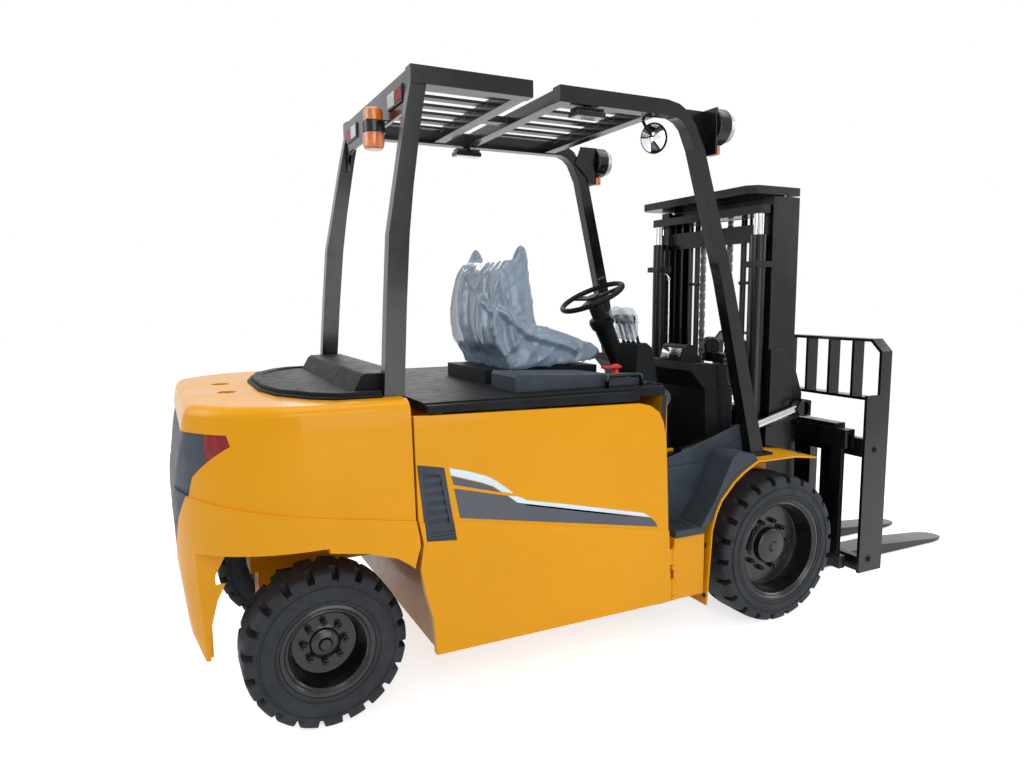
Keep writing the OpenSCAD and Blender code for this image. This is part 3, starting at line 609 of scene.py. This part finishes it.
def cab_forms():
    b = Bag()
    for s in (1, -1):
        b.side([(366, 1144), (366, 1172)] + arc(1270, 1140, 28, 90, -20) + [(1280, 1126)], s * 640, s * 692)
    b.made("hood_rails", PLASTIC, "chassis", 0.004)

    b = Bag()
    b.side([(783, 1178), (783, 1240), (792, 1251), (1200, 1232), (1370, 1208), (1455, 1182), (1455, 1178)],
           -560, -330)
    b.side([(1430, 1178), (1430, 1192), (1478, 1180)] + arc(1490, 1115, 40, 60, -60) + [(1471, 1090), (1471, 1178)],
           -600, -385)
    o = b.made("console_moulding", SLATE, "chassis", 0.008)
    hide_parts("side_console")
    b = Bag()
    bar = [(1200, 1178), (1200, 1218), (1205, 1225), (1212, 1229), (1363, 1229), (1370, 1225), (1375, 1218),
           (1375, 1178)]
    b.tube([P(x, -590, z) for x, z in bar], 0.009, 16)
    b.made("console_bar", BLACK, "chassis")

    b = Bag()
    b.side([(1488, 775), (1635, 775), (1627, 1169), (1592, 1322), (1560, 1345), (1512, 1338), (1500, 1180)],
           -375, -215)
    lever = Vector((-math.sin(math.radians(18)), 0, math.cos(math.radians(18))))
    for k in range(4):
        at = P(1535, -355 + 40 * k, 1325)
        b.turned([(0.011, 0.008), (0.011, 0.016), (0.007, 0.022), (0.007, 0.112), (0.013, 0.113), (0.015, 0.130),
                  (0.017, 0.148), (0.012, 0.157)], at, lever, 20)
    for y in (-170, 60):
        b.side([(1780, 775), (1880, 775), (1880, 835), (1868, 837)], y, y + 90)
    b.side([(1805, 1233), (1832, 1312), (1850, 1322), (1890, 1320), (1940, 1233)], -320, -140)
    for s in (1, -1):
        b.side([(1930, 1225), (1961, 1236), (1999, 1226), (2045, 1020), (2035, 851), (1960, 851)], s * 405, s * 425)
    o = b.made("levers_and_pedals", PLASTIC, "chassis", 0.004)
    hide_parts("controls")
    b = Bag()
    b.slab([P(1808.5, -305, 1246), P(1828.5, -305, 1304), P(1828.5, -155, 1304), P(1808.5, -155, 1246)],
           (-0.945, 0, 0.33), 0.0012)
    b.made("display_screen", SCREEN, "chassis")

    b = Bag()
    down = Vector((math.sin(math.radians(25.4)), 0, -math.cos(math.radians(25.4))))
    b.turned([(0.030, 0.040), (0.034, 0.060), (0.034, 0.096), (0.058, 0.104), (0.064, 0.122), (0.060, 0.150),
              (0.050, 0.165), (0.046, 0.300), (0.042, 0.420), (0.0405, 0.78)], P(1500, 0, 1550), down, 40)
    across = Vector((0, -1, 0))
    stalk = P(1500, 0, 1550) + down * 0.126
    b.tube([stalk, stalk + across * 0.12 + Vector((-0.02, 0, 0.02)),
            stalk + across * 0.18 + Vector((-0.03, 0, 0.03))], 0.006)
    b.made("column_shroud", PLASTIC, "chassis", 0.002)

    fen = [(1673, 167), (1695, 518), (1720, 595), (1749, 649), (1822, 724), (1880, 765), (1960, 805), (2200, 805),
           (2343, 786), (2343, 0), (1673, 0)]
    cover = [(1641, 535), (1725, 657), (1795, 793)] + arc(1860, 797, 56, 155, 65) + [(1945, 838), (1972, 800),
                                                                                 (1972, 700), (1668, 535)]
    wall = [(1500, 535), (1668, 535), (1972, 700), (2060, 800), (2060, 915), (1886, 836), (1760, 790), (1500, 786)]
    done = Bag()
    for s in (1, -1):
        under = Bag()
        under.side(fen, s * 400, s * 720)
        for k, (line, y0, y1) in enumerate(((cover, 538.3, 690), (wall, 528, 538.6))):
            a = Bag()
            a.side(line, s * y0, s * y1)
            c = carved(f"kick_{k}", a, [("DIFFERENCE", under)], SLATE, None)
            done.add(c.v, c.f)
        done.box(1500, 1668, s * 460, s * 690, 505, 535)
        for k in range(5):
            done.box(1514 + 24 * k, 1524 + 24 * k, s * 558, s * 680, 534, 539)
    o = done.made("step_mouldings", SLATE, "chassis")
    soften(o, 0.004, True)
    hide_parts("steps")


def vents():
    line = [(322, 960), (425, 940), (470, 660), (352, 672)]
    hole = [(340, 928), (408, 914), (446, 716), (362, 724)]
    for node, body, s in (("door_vent", "side_door", -1), ("panel_vent", "chassis", 1)):
        a, cut, grooves, slats, inside = Bag(), Bag(), Bag(), Bag(), Bag()
        a.side(line, s * 696, s * 682)
        cut.side(hole, s * 705, s * 685)
        for k in range(3):
            grooves.box(330, 480, s * 702, s * 693, 672 + 12 * k, 677 + 12 * k)
        b = carved("vent_frame", a, [("DIFFERENCE", cut), ("DIFFERENCE", grooves)], SLATE, None)
        inside.side(hole, s * 699, s * 683)
        for k in range(6):
            z = 716 + 35 * k
            slats.face([(s * 695, z), (s * 695, z + 8), (s * 683.5, z + 26), (s * 683.5, z + 18)], 330, 460)
        c = carved("vent_slats", slats, [("INTERSECT", inside)], SLATE, None)
        b.add(c.v, c.f)
        o = b.made(f"{node}_louvred", SLATE, body)
        soften(o, 0.001, True)
        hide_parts(node)


def guard_forms():
    g = GUARD_TOP
    b = Bag()
    for s in (1, -1):
        curve = arc(376, g - 234, 84, 0, 90)
        b.face([(s * y, z) for y, z in curve + [(460, g - 150)]], 386, 402)
        b.box(379, 387, s * 250, s * 430, g - 112, g - 46)
    b.box(296, 388, -240, -160, g - 147, g - 141)
    b.turned([(0.046, 0), (0.046, 0.043)], P(334, -200, g - 189), (0, 0, 1), 40)
    b.made("guard_rear_hoop", BLACK, "chassis", 0.002)
    b = Bag()
    b.turned([(0.043, 0), (0.043, 0.050), (0.039, 0.059), (0.031, 0.064)], P(334, -200, g - 189), (0, 0, -1), 40)
    b.turned([(0.038, 0), (0.038, 0.036), (0.034, 0.045), (0.026, 0.050)], P(334, -200, g - 141), (0, 0, 1), 40)
    o = b.made("beacon_lens", AMBER, "chassis", 0.001)
    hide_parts("beacon")

    body, lens, turn = Bag(), Bag(), Bag()
    for s in (1, -1):
        body.side([(1665, g - 103), (1700, g - 11), (1802, g - 11), (1802, g - 213), (1760, g - 209),
                   (1740, g - 173)], s * 450, s * 459)
        body.box(1792, 1802, s * 450, s * 547, g - 213, g - 11)
        at = P(1801, s * HEADLAMP_Y, g - 85)
        body.turned([(0.076, 0), (0.080, 0.010), (0.080, 0.062)], at, (1, 0, 0), 48)
        lens.turned([(0.078, 0.060), (0.068, 0.092), (0.040, 0.112), (0.012, 0.118)], at, (1, 0, 0), 48)
        turn.box(1802, 1842, s * 462, s * 522, g - 209, g - 168)
    for s, x in ((-1, 1155), (1, 1025)):
        body.box(x - 15, x + 15, s * 475, s * 505, g - 78, g - 66)
        body.box(x - 70, x + 70, s * 455, s * 525, g - 110, g - 90)
        for k in range(-5, 6):
            body.box(x + 12 * k - 2, x + 12 * k + 2, s * 457, s * 523, g - 91, g - 74)
        lens.box(x - 62, x + 62, s * 461, s * 519, g - 112, g - 109)
    o = body.made("lamp_housings", BLACK, "chassis", 0.002)
    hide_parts("front_lamps")
    lens.made("lamp_lenses", CLEAR, "chassis", 0.001)
    turn.made("turn_lamps", AMBER, "chassis", 0.004)

    d = Vector((0.894, 0.398, 0.208)).normalized()
    b, at = Bag(), P(1556, -404, g - 140)
    b.turned([(0.064, 0), (0.068, 0.006), (0.062, 0.016), (0.036, 0.026)], at, d, 48)
    b.tube([at + d * 0.012, P(1530, -392, g - 100), P(1512, -384, g - 64)], 0.007)
    o = b.made("mirror_shell", PLASTIC, "chassis", 0.001)
    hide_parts("mirror_arm")
    b = Bag()
    b.turned([(0.060, 0), (0.060, 0.001)], at - d * 0.001, d, 48)
    b.made("mirror_face", MIRROR, "chassis")


def tilt_ears():
    b = Bag()
    for s in (1, -1):
        b.side([(2266, 905), (2476, 930), (2488, 965), (2488, 1060), (2446, 1169), (2345, 1291), (2266, 1291)],
               s * 440.2, s * 454.2)
        b.turned([(0.040, 0), (0.040, 0.014)], P(2440, s * 502, 990), (0, s, 0), 40)
        b.box(2440, 2492, s * 502, s * 516, 950, 1030)
        b.box(2482, 2492, s * 442, s * 516, 950, 1030)
        b.turned([(0.018, 0), (0.018, 0.068)], P(2440, s * 446, 990), (0, s, 0), 24)
    b.made("tilt_ears", MAST, "mast_outer", 0.003)


# ---- tyres ----
def tyre(name, body, centre, outer, width, bead, lugs, deep, gap):
    """Solid industrial tyre: shoulder lugs staggered left and right, moulded steps on the walls."""
    h = width / 2
    floor = outer - deep
    half = [(h - 26, bead + 1), (h - 15, bead + 1.2), (h - 14, bead + 11.6), (h - 4.5, bead + 11.6),
            (h - 1.5, bead + 15), (h - 1, bead + 22), (h - 4, bead + 24), (h - 4, bead + 29), (h - 0.5, bead + 31),
            (h, (bead + outer) / 2), (h - 1.5, floor - 24), (h - 5, floor - 22), (h - 5, floor - 14),
            (h - 1.5, floor - 12), (h - 2, floor + 2), (h - 7, outer - 13), (h - 15, outer - 5),
            (h - 30, outer - 1.5), (h - 48, outer), (h - 66, outer), (h - 70, outer), (14, outer)]
    prof = half + [(-y, r) for y, r in reversed(half)]
    pitch = 2 * math.pi / lugs
    g = gap / (outer * pitch)
    edge = 0.03
    base = [0.0, edge, 0.25, 0.5, 1 - g - edge, 1 - g, 1 - g / 2]
    steps = sorted(set([round(t, 4) for t in base] + [round((t + 0.5) % 1, 4) for t in base]))

    def cut(t):
        if t <= edge:
            return 1 - t / edge
        if t < 1 - g - edge:
            return 0
        return min(1, (t - (1 - g - edge)) / edge)

    verts, faces = [], []
    n = len(prof)
    rows = lugs * len(steps)
    for i in range(lugs):
        for t in steps:
            a = (i + t) * pitch
            for y, r in prof:
                k = cut(t) if y > 0 else cut((t + 0.5) % 1)
                if r > floor and abs(y) > h - 68:
                    r -= (r - floor) * k
                    if abs(y) > h - 16:
                        y -= math.copysign(4 * k, y)
                verts.append(centre + Vector((r * math.sin(a), y, r * math.cos(a))) / 1000)
    for i in range(rows):
        for j in range(n - 1):
            p, q = i * n + j, ((i + 1) % rows) * n + j
            faces.append((p, q, q + 1, p + 1))
    o = piece(name, verts, faces, TYRE, body)
    sharp = math.radians(38)
    with edited(o.data) as bm:
        for e in bm.edges:
            if len(e.link_faces) == 2 and e.calc_face_angle(0) > sharp:
                e.smooth = False
    return o


def wheels():
    for end, bead, lugs in (("front", 238, 22), ("rear", 162, 20)):
        for side in ("right", "left"):
            node = f"{end}_tyre_{side}"
            lo, hi = (Vector(v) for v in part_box(node))
            c = (lo + hi) / 2
            s = -1 if side == "right" else 1
            body = f"{end}_wheel_{side}"
            o = tyre(f"{node}_lugged", body, c, (hi.z - lo.z) * 500 - 0.3, (hi.y - lo.y) * 1000, bead, lugs, 34, 24)
            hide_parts(node)
            ring, count, shaft, bore, cover = (0.118, 10, 40, 41, 84) if end == "front" else (0.076, 8, 20, 31, 54)
            w, cap = (hi.y - lo.y) * 500, shaft + 12
            loop = [(bead - 18, 14 - w), (bead, 14 - w), (bead, w - 14), (bead + 10, w - 11), (bead + 10, w - 5),
                    (bead - 2, w - 2), (bead - 9, w - 9), (bead - 14, w - 5), (bead - 22, w - 12), (bead - 28, 50),
                    (bead - 44, 18), (cover + 20, 12), (cover, 20), (cover, cap), (cover - 8, cap + 6),
                    (26, cap + 10), (20, cap + 20), (0.2, cap + 20), (0.2, cap - 8), (bore, cap - 8), (bore, -40),
                    (bore + 40, -40), (bore + 50, -10), (bead - 24, -10)]
            bag = Bag()
            bag.ring([(r / 1000, h / 1000) for r, h in loop], c, (0, s, 0), 72)
            turns = [2 * math.pi * k / count for k in range(count)]
            for a in turns:
                at = c + Vector((ring * math.cos(a), s * 0.010, ring * math.sin(a)))
                bag.turned([(0.013, 0), (0.013, 0.022), (0.011, 0.024)], at, (0, s, 0), 6)
            o = bag.made(f"{end}_rim_{side}_deep", RIM, body)
            soften(o, 0.0012)
            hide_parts(f"{end}_rim_{side}")
            bag = Bag()
            for a in turns:
                at = c + Vector((ring * math.cos(a), s * 0.034, ring * math.sin(a)))
                bag.turned([(0.0072, 0), (0.0072, 0.009), (0.0058, 0.012)], at, (0, s, 0), 14)
                bag.turned([(0.0100, 0), (0.0100, 0.0016), (0.0085, 0.0022)], at, (0, s, 0), 18)
            bag.made(f"{end}_studs_{side}", BOLT, body, 0.0005)


# ---- stripes on the door, fitted to its face ----
STRIPE_LIFT = 0.0006


def stripe(name, outline, mat):
    bm = bmesh.new()
    f = bm.faces.new([bm.verts.new((x, 0, z)) for x, z in outline])
    bmesh.ops.triangulate(bm, faces=[f])
    bmesh.ops.subdivide_edges(bm, edges=bm.edges, cuts=5, use_grid_fill=True)
    bm.verts.index_update()
    verts = []
    for v in bm.verts:
        at, _ = surface("side_door", P(v.co.x, -900, v.co.z), (0, 1, 0))
        verts.append(at - Vector((0, STRIPE_LIFT, 0)) if at else P(v.co.x, -690, v.co.z))
    faces = [tuple(v.index for v in f.verts) for f in bm.faces]
    bm.free()
    return piece(name, verts, faces, mat, "side_door")


def stripes():
    stripe("stripe_upper_light", [(445, 937), (518, 917), (593, 891), (635, 867), (709, 809), (658, 821),
                                  (622, 848), (576, 868), (451, 910)], WHITE)
    stripe("stripe_upper_dark", [(452, 906), (576, 864), (622, 844), (656, 819), (461, 872)], DARK)
    stripe("stripe_lower_dark", [(462, 858), (682, 802), (722, 770), (784, 751), (1360, 621), (1382, 602),
                                 (1399, 575), (485, 742)], DARK)
    stripe("stripe_lower_light", [(684, 803), (731, 793), (766, 774), (931, 738), (1322, 647), (1362, 623),
                                  (784, 753), (724, 771)], WHITE)


# ---- seat and its film ----
def solid(outline, y0, y1):
    b = Bag()
    b.side(outline, y0, y1)
    return b


def remeshed(name, bags, voxel, rounds):
    whole = Bag()
    for b in bags:
        whole.add(b.v, b.f)
    o = whole.made(name + "_raw", PAD, None)
    m = o.modifiers.new("remesh", "REMESH")
    m.mode, m.voxel_size = "VOXEL", voxel
    s = o.modifiers.new("smooth", "SMOOTH")
    s.iterations, s.factor = rounds, 0.5
    bpy.context.view_layer.update()
    me = bpy.data.meshes.new_from_object(o.evaluated_get(bpy.context.evaluated_depsgraph_get()))
    bpy.data.objects.remove(o)
    n = bpy.data.objects.new(name, me)
    me.name = name
    scene.collection.objects.link(n)
    for p in me.polygons:
        p.use_smooth = True
    return n


def ridge(p, scale, stretch=(1, 1, 1)):
    q = Vector((p.x * stretch[0], p.y * stretch[1], p.z * stretch[2])) * scale
    return 1 - abs(noise.noise(q)) * 2


def seat():
    cushion = [(915, 1250), (1365, 1262), (1396, 1285), (1398, 1308), (1362, 1330), (1200, 1374), (1090, 1400),
               (915, 1385)]
    back = [(872, 1390), (1018, 1400), (1016, 1450), (1000, 1590), (976, 1688), (945, 1706), (905, 1695),
            (872, 1600), (858, 1500)]
    pads = remeshed("seat_pads", [solid(cushion, -235, 235), solid(back, -228, 228)], 0.012, 5)
    for v in pads.data.vertices:
        x = v.co.x * 1000 + OX
        dip = 0.008 * math.cos(v.co.y / 0.235 * math.pi * 1.5)
        if v.co.z > 1.32 and x > 1060:
            v.co.z += dip
        elif x > 960 and v.co.z > 1.42:
            v.co.x += dip
    dressed(pads.data, PAD)
    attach(pads, "chassis")
    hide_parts("seat")

    bag = remeshed("seat_film", [
        solid([(905, 1235), (1395, 1262), (1440, 1290), (1442, 1312), (1405, 1338), (1360, 1350), (1196, 1396),
               (1074, 1432), (900, 1420), (880, 1300)], -258, 258),
        solid([(905, 1270), (838, 1349), (822, 1430), (824, 1500), (838, 1600), (858, 1675), (895, 1722),
               (950, 1732), (998, 1716), (1020, 1600), (1043, 1431), (1060, 1380)], -255, 255)], 0.008, 8)
    me = bag.data
    normals = [v.normal.copy() for v in me.vertices]
    # sharp folds, each from one point to another on a rear (x) or right-hand (y) face
    folds = [((0.165, 1.70), (-0.262, 1.49), "x"), ((0.865, 1.50), (1.01, 1.39), "y"),
             ((1.01, 1.39), (1.27, 1.318), "y"), ((0.86, 1.66), (0.93, 1.34), "y"),
             ((0.10, 1.70), (0.02, 1.33), "x"), ((-0.12, 1.66), (-0.2, 1.36), "x")]
    for v, nm in zip(me.vertices, normals):
        c = v.co
        sx, sy = c.x + OX / 1000, c.y
        # front corners of the cushion are rounded in plan
        over = max(0.0, abs(c.y) - 0.09) / 0.17
        if sx > 1.2 and c.z < 1.42:
            v.co.x -= 0.075 * over * over * min(1, (sx - 1.2) / 0.2)
        # soft ridges, aslant on the sides
        slant = Vector((c.x * 0.8 + c.z * 0.6, c.y, c.z * 0.8 - c.x * 0.6))
        if abs(nm.y) > 0.5:
            soft = ridge(slant, 7, (0.30, 0.6, 1.5)) ** 3
        elif nm.x < -0.5:
            soft = ridge(c, 7, (1.0, 1.6, 0.35)) ** 3
        else:
            soft = ridge(c, 8, (1.2, 1.0, 0.6)) ** 3
        d = 0.0055 * max(-0.2, soft - 0.45) + 0.0012 * noise.noise(c * 26)
        for p, q, face in folds:
            if face == "x" and nm.x > -0.4 or face == "y" and nm.y > -0.4:
                continue
            w = Vector((sy if face == "x" else sx, c.z))
            p, q = Vector(p), Vector(q)
            t = max(0, min(1, (w - p).dot(q - p) / (q - p).length_squared))
            gap = (w - p - (q - p) * t).length
            d += 0.012 * math.exp(-(gap / 0.012) ** 2) - 0.004 * math.exp(-((gap - 0.035) / 0.018) ** 2)
        low = max(0.0, (1.34 - c.z) / 0.1)
        d += 0.007 * low * noise.noise(Vector((c.x * 16, c.y * 16, 2)))
        v.co = v.co + nm * d
    # loose corners of the film stand up at the top of the back
    for px, py, top, rx, ry in ((947, 205, 1786, 0.045, 0.075), (982, -232, 1788, 0.050, 0.055)):
        for v in me.vertices:
            q = v.co - P(px, py, 1715)
            r = math.hypot(q.x / rx, q.y / ry)
            if r < 1 and q.z > -0.06:
                v.co.z += (top - 1722) / 1000 * (1 - r * r) ** 1.5 * min(1, 1 + q.z / 0.06)
    with edited(me) as bm:
        under = [f for f in bm.faces if f.normal.z < -0.6 and f.calc_center_median().z < 1.30]
        bmesh.ops.delete(bm, geom=under, context="FACES")
        area = sum(f.calc_area() for f in bm.faces)
    dressed(me, MILKY)
    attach(bag, "chassis")


def lever_film():
    b = Bag()
    for y0, y1, x in ((-372, -308, 1505), (-288, -222, 1512)):
        b.side([(x - 28, 1440), (x - 62, 1478), (x - 66, 1500), (x - 40, 1512), (x - 5, 1498), (x + 10, 1455),
                (x + 6, 1380), (x - 8, 1352), (x - 16, 1378)], y0, y1)
    o = remeshed("lever_film", [b], 0.006, 4)
    me = o.data
    normals = [v.normal.copy() for v in me.vertices]
    for v, nm in zip(me.vertices, normals):
        w = ridge(v.co, 38, (1, 1, 0.3)) ** 2
        v.co += nm * (0.007 * (w - 0.4) + 0.004 * noise.noise(v.co * 90))
    with edited(me) as bm:
        low = [f for f in bm.faces if f.calc_center_median().z < 1.356]
        bmesh.ops.delete(bm, geom=low, context="FACES")
        area = sum(f.calc_area() for f in bm.faces)
    dressed(me, THIN)
    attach(o, "chassis")


# ---- mast chains ----
PLATES = ((-0.55, 0.0, 0.55), (-0.8, -0.27, 0.27, 0.8))  # across a link, as shares of half its width


def leaf_chain(bag, x0, x1, ys, z0, z1, pitch=25.4):
    n = max(2, round((z1 - z0) / pitch))
    step = (z1 - z0) / n
    mid, w, h = (x0 + x1) / 2, (x1 - x0) / 2, step * 0.74
    for yc, hw in ys:
        for k in range(n):
            zc = z0 + step * (k + 0.5)
            for c in PLATES[k % 2]:
                pts = [(-w, -h * 0.55), (-w * 0.6, -h), (w * 0.6, -h), (w, -h * 0.55), (w * 0.82, 0), (w, h * 0.55),
                       (w * 0.6, h), (-w * 0.6, h), (-w, h * 0.55), (-w * 0.82, 0)]
                bag.slab([P(mid + px, yc + c * hw - hw * 0.12, zc + pz) for px, pz in pts], (0, 1, 0),
                         hw * 0.24 / 1000)
            bag.turned([(0.0045, 0), (0.0045, 2 * hw / 1000)], P(mid, yc - hw, zc + step / 2), (0, 1, 0), 8)


def mast_lines():
    """Chains between the mast's stages, with their anchors."""
    mx, top = MAST_REAR, 1270
    bag = Bag()
    for s in (1, -1):
        bag.box(mx + 50, mx + 66, s * 85, s * 137, 214, 300)
        bag.box(mx + 30, mx + 66, s * 85, s * 125, 270, 300)
    bag.made("chain_anchors", MAST, "mast_inner", 0.003)
    bag = Bag()
    for s in (1, -1):
        bag.box(mx + 169, mx + 176, s * 100, s * 130, 690, 716)
    bag.made("carriage_anchors", MAST, "carriage", 0.003)
    bag = Bag()
    leaf_chain(bag, mx + 28, mx + 42, [(105, 19), (-105, 19)], 301, 1950)
    o = bag.made("lift_chain_links", CHAIN, None, smooth=False)
    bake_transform(o)
    rear, front, over = Bag(), Bag(), Bag()
    leaf_chain(rear, mx + 48.5, mx + 57, [(115, 19), (-115, 19)], 302, top - 4, 22)
    leaf_chain(front, mx + 159, mx + 167.5, [(115, 19), (-115, 19)], 712, top - 4, 22)
    for s in (1, -1):
        for k in range(9):
            a0, a1 = math.pi * (k + 0.06) / 9, math.pi * (k + 0.94) / 9
            for c in PLATES[k % 2]:
                pts = [P(mx + 108 + rr * math.cos(a), s * 115 + c * 19 - 2.3, top + rr * math.sin(a))
                       for rr, aa in ((50.8, (a0, (a0 + a1) / 2, a1)), (59.5, (a1, (a0 + a1) / 2, a0))) for a in aa]
                over.slab(pts, (0, 1, 0), 0.0046)
    o = rear.made("carriage_chain_rear", CHAIN, None, smooth=False)
    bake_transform(o)
    o = front.made("carriage_chain_front", CHAIN, "crosshead", smooth=False)
    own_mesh(o)
    over.made("carriage_chain_over", CHAIN, "crosshead", smooth=False)


# ---- bolts, lenses, latch and pipes ----
def pick(px, py, node):
    """The point of a CAD node under a pixel of the 1024 x 768 frame, with its normal."""
    r, u, fw = view_axes()
    d = fw + r * ((px - 512) / FOCAL_PX) + u * ((384 - py) / FOCAL_PX)
    return surface(node, EYE, d.normalized())


def bolts():
    sets = {"chassis": [(738, 435.6, "steps", 0.009), (704.7, 545, "fenders", 0.007), (704, 595, "fenders", 0.007),
                        (799, 453, "fenders", 0.008), (714, 386, "cowl", 0.005)],
            "fork_frame": [(875, 449.7, "load_backrest", 0.011), (868.8, 559, "load_backrest", 0.012),
                           (835.6, 534, "fork_frame", 0.009)]}
    for body, places in sets.items():
        mid = -0.150 if body == "fork_frame" else 0.0  # the fork frame stands 75 mm to the right
        bag = Bag()
        for px, py, node, r in places:
            at, n = pick(px, py, node)
            if at is None:
                continue
            if n.dot(at - EYE) > 0:
                n = -n
            bag.bolt(at, n, r)
            bag.bolt(Vector((at.x, mid - at.y, at.z)), Vector((n.x, -n.y, n.z)), r)
        if bag.v:
            bag.made(f"bolts_{body}", BOLT, body, 0.0006)


def facets(bag, y0, y1, z0, z1, x, ny, nz, deep):
    """A lens face turned to the rear, with a grid of small pyramids."""
    dy, dz = (y1 - y0) / ny, (z1 - z0) / nz
    for i in range(ny):
        for j in range(nz):
            c = [P(x, y0 + dy * (i + a), z0 + dz * (j + b)) for a, b in ((0, 0), (1, 0), (1, 1), (0, 1))]
            bag.add(c + [P(x - deep, y0 + dy * (i + 0.5), z0 + dz * (j + 0.5))],
                    [(0, 1, 4), (1, 2, 4), (2, 3, 4), (3, 0, 4), (3, 2, 1, 0)])


def lamps():
    top = GUARD_TOP - 48.3
    for s, side in ((-1, "right"), (1, "left")):
        for name, y0, y1, mat in (("clear", 254, 340, CLEAR), ("red", 343, 426, RED)):
            bag = Bag()
            facets(bag, min(s * y0, s * y1), max(s * y0, s * y1), top - 57, top - 4, 377.7, 9, 6, 3.5)
            bag.made(f"roof_lamp_{name}_{side}", mat, "chassis", smooth=False)
    bag = Bag()
    for s in (-1, 1):
        for r in (64, 44, 24):
            at = P(1866 + (64 - r) * 0.72, s * HEADLAMP_Y, GUARD_TOP - 85)
            bag.turned([(r / 1000 - 0.003, 0), (r / 1000, 0.002), (r / 1000 + 0.003, 0)], at, (1, 0, 0), 40)
    bag.made("headlamp_rings", CHROME, "chassis")


def cab_trim():
    at = P(1392, -372, 1198)
    bag = Bag()
    bag.turned([(0.016, 0), (0.016, 0.018), (0.012, 0.022), (0.012, 0.034), (0.019, 0.037), (0.019, 0.050),
                (0.014, 0.055)], at, (0, 0, 1), 24)
    bag.slab([at + Vector((a, b, 0.036)) for a, b in ((-0.075, -0.012), (0.0, -0.016), (0.026, -0.010),
                                                      (0.026, 0.010), (0.0, 0.016), (-0.075, 0.012))],
             (0, 0, 1), 0.012)
    bag.made("seat_latch", LATCH, "chassis", 0.003)

    bag = Bag()
    line = [(1500, 787), (1500, 812), (1580, 831), (1715, 866), (1836, 903), (1925, 931), (2004, 952), (2028, 938),
            (2034, 904), (1886, 837), (1760, 791)]
    for s in (1, -1):
        bag.slab([P(x, s * 528, z) for x, z in line], (0, s, 0), 0.010)
    bag.made("kick_tops", SLATE, "chassis", 0.002)


def mast_pipes():
    bag = Bag()
    for s in (1, -1):
        path = ((2244, 338, 1200), (2244, 338, 1440), (2243, 338, 1640), (2240, 341, 1672), (2232, 350, 1688),
                (2222, 360, 1692))
        bag.tube([P(x, s * y, z) for x, y, z in path], 0.0045, 10)
        for z in (1206, 1650):
            bag.turned([(0.0085, 0), (0.0085, 0.016), (0.0065, 0.019)], P(2244, s * 338, z), (0, 0, 1), 6)
    bag.made("lift_pipes", SILVER, "mast_outer", 0.0004)
    bag = Bag()
    for s in (1, -1):
        for y in (172, 194, 232):
            bag.tube([P(2321, s * y, 216 + 1743 * k / 12) for k in range(13)], 0.008, 12)
        for z in (620, 1120, 1620):
            bag.box(2311, 2331, s * 160, s * 243, z, z + 16)
    bag.made("mast_hose_bundle", HOSE, "mast_inner")


for step in (camera, light_and_floor, finish_nodes, rear_body, cab_forms, vents, guard_forms, tilt_ears, wheels,
             stripes, seat, lever_film, mast_lines, bolts, lamps, cab_trim, mast_pipes):
    step()
